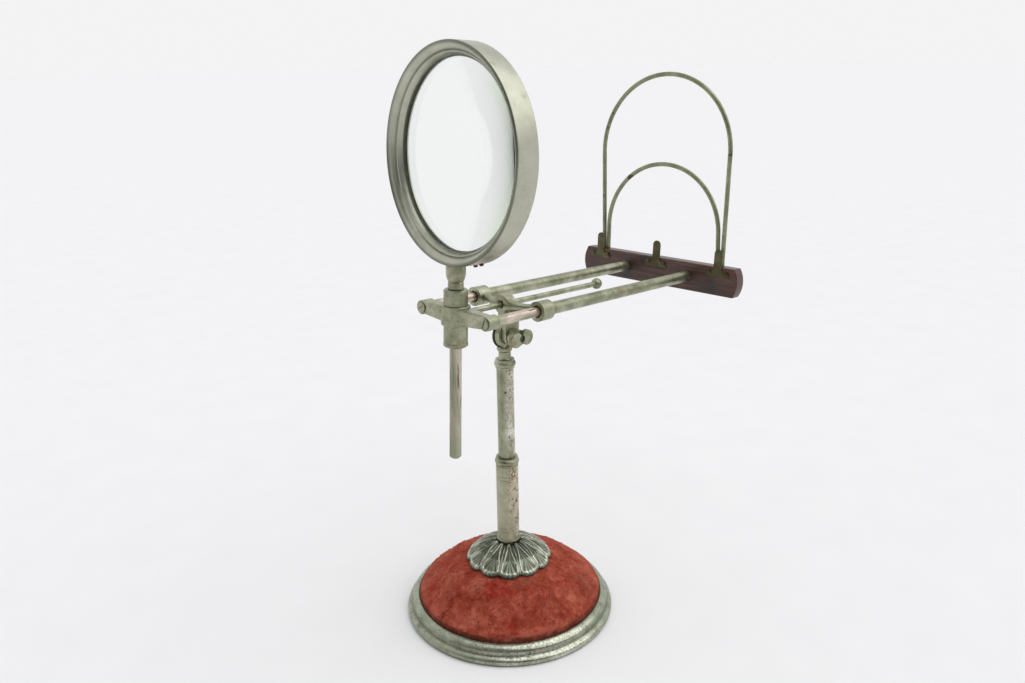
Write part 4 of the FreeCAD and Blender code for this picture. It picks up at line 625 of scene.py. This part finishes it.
def rosette_height(radius):
    """Low cone of the casting from the column out to the cloth."""
    share = max(radius - ROSETTE_CROWN, 0) / (ROSETTE_OUTER - ROSETTE_CROWN)
    fall = ROSETTE_TOP - dome_height(ROSETTE_OUTER) - ROSETTE_EDGE_THICKNESS
    return ROSETTE_TOP - fall * share ** ROSETTE_CURVE


def rosette_relief(share, across):
    """Relief in mm: share runs from the column to the edge, across goes over one lobe."""
    off = abs(across)
    half = 0.15 + 0.25 * eased(share, 0.25, 0.72)
    rib = 0.045 + 0.02 * (1 - share)
    height = 1.25 * ridge(off - half, rib)                            # ribs at the lobe's sides
    height += 0.85 * ridge(off - 0.5, 0.055) * eased(share, 0.02, 0.2)    # petal between lobes
    height += 0.35 * ridge(off - 0.5, 0.11) * eased(share, 0.5, 0.8)
    height -= 0.35 * ridge(off - (half + 0.5) / 2, 0.04)
    shell = eased(share, 0.54, 0.66)
    if off < half:
        bearing = math.atan2(across * 1.5, share - 0.5)
        height += shell * (0.5 + 0.34 * math.cos(bearing * 11.0)) * eased(half - off, 0.0, 0.08)
        height += 0.3 * (1 - shell) * ridge(off, 0.05)                # fine rib up the flute
    height += 1.1 * ridge(off, 0.085) * ridge(share - 0.07, 0.045)    # beads next to the column
    height += 1.0 * ridge(off - 0.5, 0.06) * ridge(share - 0.47, 0.035)
    height += 0.8 * ridge(share - 0.94, 0.035) * (1 - ridge(off - 0.5, 0.08))
    edge = math.sqrt(max(1 - (1 - eased(1 - share, 0.0, 0.045)) ** 2, 0.0))
    return height * edge - 0.5 * (1 - edge)


def rosette():
    """Cast rosette: a thin ring spun flat, then raised to its cone, scalloped and modelled.

    The spun ring has height 1 on top and 0 below, which tells the two faces apart.
    """
    tops = [(ROSETTE_INNER + (ROSETTE_OUTER - ROSETTE_INNER) * i / ROSETTE_RINGS, 0, 1)
            for i in range(ROSETTE_RINGS + 1)]
    undersides = [(tops[i][0], 0, 0) for i in range(ROSETTE_RINGS, -1, -12)]
    bm = spun_profile(tops + undersides, LOBES * ROSETTE_STEPS, closed=True)
    shown = bm.verts.layers.float.new("relief")
    for vert in bm.verts:
        x, y, top = vert.co
        share = (math.hypot(x, y) - ROSETTE_INNER) / (ROSETTE_OUTER - ROSETTE_INNER)
        bearing = math.atan2(y, x)
        across = (bearing * LOBES / (2 * math.pi)) % 1.0 - 0.5
        scallop = math.sqrt(max(1 - (abs(across) / 0.45) ** 2, 0.0))
        petal = 0.5 * ridge(abs(across) - 0.5, 0.04)
        reach = ROSETTE_OUTER - LOBE_DEPTH * (1 - max(scallop, petal))
        radius = ROSETTE_INNER + (reach - ROSETTE_INNER) * share
        height = rosette_height(radius) - ROSETTE_BODY
        if top > 0.5:
            relief = rosette_relief(share, across)
            vert[shown] = relief / RELIEF_DEPTH
            height += relief * MM
        else:
            height -= ROSETTE_UNDERCUT * (1 - share)
        vert.co = (radius * math.cos(bearing), radius * math.sin(bearing), height)
    bmesh.ops.recalc_face_normals(bm, faces=bm.faces)
    finished("rosette_casting", bm, rosette_metal, "base", "rosette_casting", "rosette")


rosette()


# ---- velvet ---------------------------------------------------------------------------------
VELVET_INNER = 30.0 * MM      # the cloth's cut edge, hidden under the rosette
VELVET_HELD = 36.0 * MM       # the rosette holds the cloth down from here inwards
VELVET_LOOSE = 42.0 * MM      # from here outwards it lies as it likes
VELVET_SKIN = 0.9 * MM
VELVET_GAP = 0.15 * MM        # room between the cloth and the foot ring
VELVET_TUCK = 2.6 * MM        # how far the edge goes down behind the foot's lip
VELVET_RINGS = 44
VELVET_STEPS = 220
SWELL_FRAMES = 20
SWELL_OUT = 1.3 * MM          # caps on how far the simulation moves a point, outwards
SWELL_IN = 0.15 * MM          # and inwards
WOOL_LUMP_MM = 15             # size of the lumps in the padding
TUFT_MM = 3.4                 # size of the crushed tufts of pile


def swell(cover):
    """Short cloth simulation of the skin, of which only a low uneven swell is kept.

    Left free the skin buckles by several millimetres, mostly inwards, so most points are held at
    one of the two caps, and movement along the surface is dropped.
    """
    mesh = cover.data
    rest = [(vert.co.copy(), vert.normal.copy()) for vert in mesh.vertices]
    pinned = cover.vertex_groups.new(name="pinned")
    pinned.add([vert.index for vert in mesh.vertices
                if math.hypot(vert.co.x, vert.co.y) < VELVET_HELD or vert.co.z < DOME_FOOT + MM],
               1.0, "ADD")
    cloth = cover.modifiers.new("cloth", "CLOTH")
    cloth.settings.vertex_group_mass = "pinned"
    cloth.settings.effector_weights.gravity = 0.0
    cloth.settings.use_pressure = True
    cloth.settings.uniform_pressure_force = 3.0
    cloth.settings.shrink_min = -0.03
    cloth.settings.tension_stiffness = 12
    cloth.settings.compression_stiffness = 12
    cloth.settings.bending_stiffness = 0.05
    cloth.point_cache.frame_end = SWELL_FRAMES
    for step in range(1, SWELL_FRAMES + 1):
        bpy.context.scene.frame_set(step)
    swollen = cover.evaluated_get(bpy.context.evaluated_depsgraph_get()).to_mesh()
    moved = [vert.co.copy() for vert in swollen.vertices]
    cover.modifiers.remove(cloth)
    cover.vertex_groups.clear()
    bpy.context.scene.frame_set(1)
    for vert, (was, normal), now in zip(mesh.vertices, rest, moved):
        out = min(max((now - was).dot(normal), -SWELL_IN), SWELL_OUT)
        vert.co = was + normal * out


def velvet_pad():
    """Velvet stretched over its padding; the lumps and tufts that show are sculpted by noise."""
    outer = DOME_RADIUS - VELVET_GAP
    line = []
    for i in range(VELVET_RINGS + 1):
        radius = VELVET_INNER + (outer - VELVET_INNER) * math.sin(math.pi / 2 * i / VELVET_RINGS)
        line.append((radius, 0, dome_height(radius) - VELVET_SKIN))
    line.append((outer, 0, DOME_FOOT - VELVET_TUCK))
    bm = spun_profile(line, VELVET_STEPS)
    bmesh.ops.recalc_face_normals(bm, faces=bm.faces)
    if sum(face.normal.z for face in bm.faces) < 0:
        bmesh.ops.reverse_faces(bm, faces=bm.faces)
    cover = finished("velvet_cover_cloth", bm, finish_of_slot["velvet"], "base", "velvet",
                     "velvet_cover")
    mesh = cover.data
    swell(cover)
    bm = bmesh.new()
    bm.from_mesh(mesh)
    bmesh.ops.subdivide_edges(bm, edges=bm.edges, cuts=1, use_grid_fill=True)
    for _ in range(2):
        bmesh.ops.smooth_vert(bm, verts=[v for v in bm.verts if not v.is_boundary], factor=0.5,
                              use_axis_x=True, use_axis_y=True, use_axis_z=True)
    bm.normal_update()
    for vert in bm.verts:
        radius = math.hypot(vert.co.x, vert.co.y)
        free = (eased(radius, VELVET_HELD, VELVET_LOOSE)
                * eased(DOME_RADIUS - radius, -0.3 * MM, 2.5 * MM))
        lumps = noise.fractal(vert.co * every(WOOL_LUMP_MM), 0.8, 2.0, 3) * 0.7
        tufts = noise.turbulence(vert.co * every(TUFT_MM), 3, False) * 0.9 - 0.35
        vert.co += vert.normal * max(lumps + tufts, -0.5) * free * MM
    bmesh.ops.solidify(bm, geom=bm.faces, thickness=VELVET_SKIN)
    bm.to_mesh(mesh)
    bm.free()
    mesh.polygons.foreach_set("use_smooth", [True] * len(mesh.polygons))


velvet_pad()


# ---- lens glass -----------------------------------------------------------------------------
GLASS_RADIUS = 80.4 * MM
GLASS_EDGE = 3.0 * MM
GLASS_BULGE = 7.0 * MM        # how far each face stands out in the middle
GLASS_RINGS = 36
GLASS_STEPS = 192


def glass_lens():
    """Both faces as one fine spun profile, ground flat at the edge."""
    curve = (GLASS_RADIUS ** 2 + GLASS_BULGE ** 2) / (2 * GLASS_BULGE)
    front = []
    for i in range(GLASS_RINGS + 1):
        radius = GLASS_RADIUS * i / GLASS_RINGS
        rise = math.sqrt(curve ** 2 - radius ** 2) - (curve - GLASS_BULGE)
        front.append((radius, -(GLASS_EDGE / 2 + rise), 0))
    back = [(radius, -y, 0) for radius, y, _ in reversed(front)]
    bm = spun_profile(front + back, GLASS_STEPS, axis=Y_AXIS)
    bmesh.ops.recalc_face_normals(bm, faces=bm.faces)
    for face in bm.faces:
        radii = [math.hypot(vert.co.x, vert.co.z) for vert in face.verts]
        face.material_index = 1 if min(radii) > GLASS_RADIUS - 0.01 * MM else 0
    bmesh.ops.transform(bm, matrix=Matrix.Translation(LENS_CENTRE) @ LENS_TURNED, verts=bm.verts)
    made = finished("reading_glass", bm, finish_of_slot["lens_glass"], "lens_head", "lens_glass",
                    "lens_glass")
    made.data.materials.append(ground_edge())


glass_lens()


# ---- floor, light and camera ----------------------------------------------------------------
FLOOR_HALF_WIDTH = 60.0
UNLIT_SIDE = (0.66, -0.72, 0.1)   # the way to the unlit side of the room
UNLIT_LEVEL = 0.2
KEY_STRENGTH = 1.3


def floor():
    """Pale paper floor that goes on past everything in view."""
    bm = bmesh.new()
    bmesh.ops.create_grid(bm, x_segments=1, y_segments=1, size=FLOOR_HALF_WIDTH)
    mesh = bpy.data.meshes.new("floor")
    bm.to_mesh(mesh)
    bm.free()
    made, tree, shader, place = new_material("white_studio_paper")
    fibres = add(tree, "TexNoise", {"Vector": place, "Scale": every(60.0), "Detail": 3.0},
                 out="Fac")
    base = add(tree, "ValToRGB", {"Fac": fibres}, stops=[(0.3, "#ececed"), (0.7, "#eeeeef")])
    tree.links.new(base.outputs["Color"], shader.inputs["Base Color"])
    shader.inputs["Roughness"].default_value = 1.0
    shader.inputs["Specular IOR Level"].default_value = 0.0
    mesh.materials.append(made)
    paper = bpy.data.objects.new("floor", mesh)
    bpy.context.scene.collection.objects.link(paper)


def studio_air():
    """White surroundings; the metal mirrors them dimmer on the side where the room is unlit."""
    world = bpy.data.worlds.new("pale_studio")
    bpy.context.scene.world = world
    world.use_nodes = True
    tree = world.node_tree
    tree.nodes.clear()
    direction = add(tree, "TexCoord").outputs["Generated"]
    unlit = add(tree, "VectorMath", {0: direction, 1: UNLIT_SIDE}, operation="DOT_PRODUCT")
    dimmed = add(tree, "MapRange",
                 {"Value": unlit.outputs["Value"], "From Min": 0.0, "From Max": 0.9,
                  "To Min": 1.0, "To Max": UNLIT_LEVEL},
                 out="Result", interpolation_type="SMOOTHSTEP")
    path = add(tree, "LightPath")
    seen = add(tree, "Math",
               {0: path.outputs["Is Camera Ray"], 1: path.outputs["Is Transmission Ray"]},
               out=0, operation="MAXIMUM")
    level = add(tree, "Mix", {0: seen, 2: dimmed, 3: 1.0}, out=0, data_type="FLOAT")
    air = add(tree, "Background", {"Color": colour("#f3f3f4"), "Strength": level})
    add(tree, "OutputWorld", {"Surface": air.outputs["Background"]})


floor()
studio_air()

# one broad diffused lamp high on the right, as even over the floor as daylight
key = bpy.data.lights.new("key_diffuser", "SUN")
key.energy = KEY_STRENGTH
key.angle = math.radians(75)
key_lamp = bpy.data.objects.new("key_diffuser", key)
key_lamp.rotation_euler = Vector((-0.57, -0.27, -1.0)).to_track_quat("-Z", "Y").to_euler()
bpy.context.scene.collection.objects.link(key_lamp)

CAMERA_PLACE = Vector((0.51410, -0.52290, 0.50923))
CAMERA_BEARING = 0.76704   # the camera looks this far to the left of +Y
CAMERA_PITCH = 0.31508     # and this far down
CAMERA_ROLL = -0.01829
CAMERA_LENS = 30.245

forward = Vector((-math.sin(CAMERA_BEARING) * math.cos(CAMERA_PITCH),
                  math.cos(CAMERA_BEARING) * math.cos(CAMERA_PITCH), -math.sin(CAMERA_PITCH)))
right = Vector((math.cos(CAMERA_BEARING), math.sin(CAMERA_BEARING), 0))
up = right.cross(forward)
rolled_right = right * math.cos(CAMERA_ROLL) + up * math.sin(CAMERA_ROLL)
rolled_up = up * math.cos(CAMERA_ROLL) - right * math.sin(CAMERA_ROLL)
lens = bpy.data.cameras.new("camera")
lens.sensor_width = 36.0
lens.sensor_fit = "HORIZONTAL"
lens.lens = CAMERA_LENS
lens.clip_start = 0.01
lens.clip_end = 200.0
camera = bpy.data.objects.new("camera", lens)
camera.matrix_world = Matrix.Translation(CAMERA_PLACE) @ Matrix(
    (rolled_right, rolled_up, -forward)).transposed().to_4x4()
bpy.context.scene.collection.objects.link(camera)
bpy.context.scene.camera = camera
bpy.context.scene.view_settings.view_transform = "Standard"
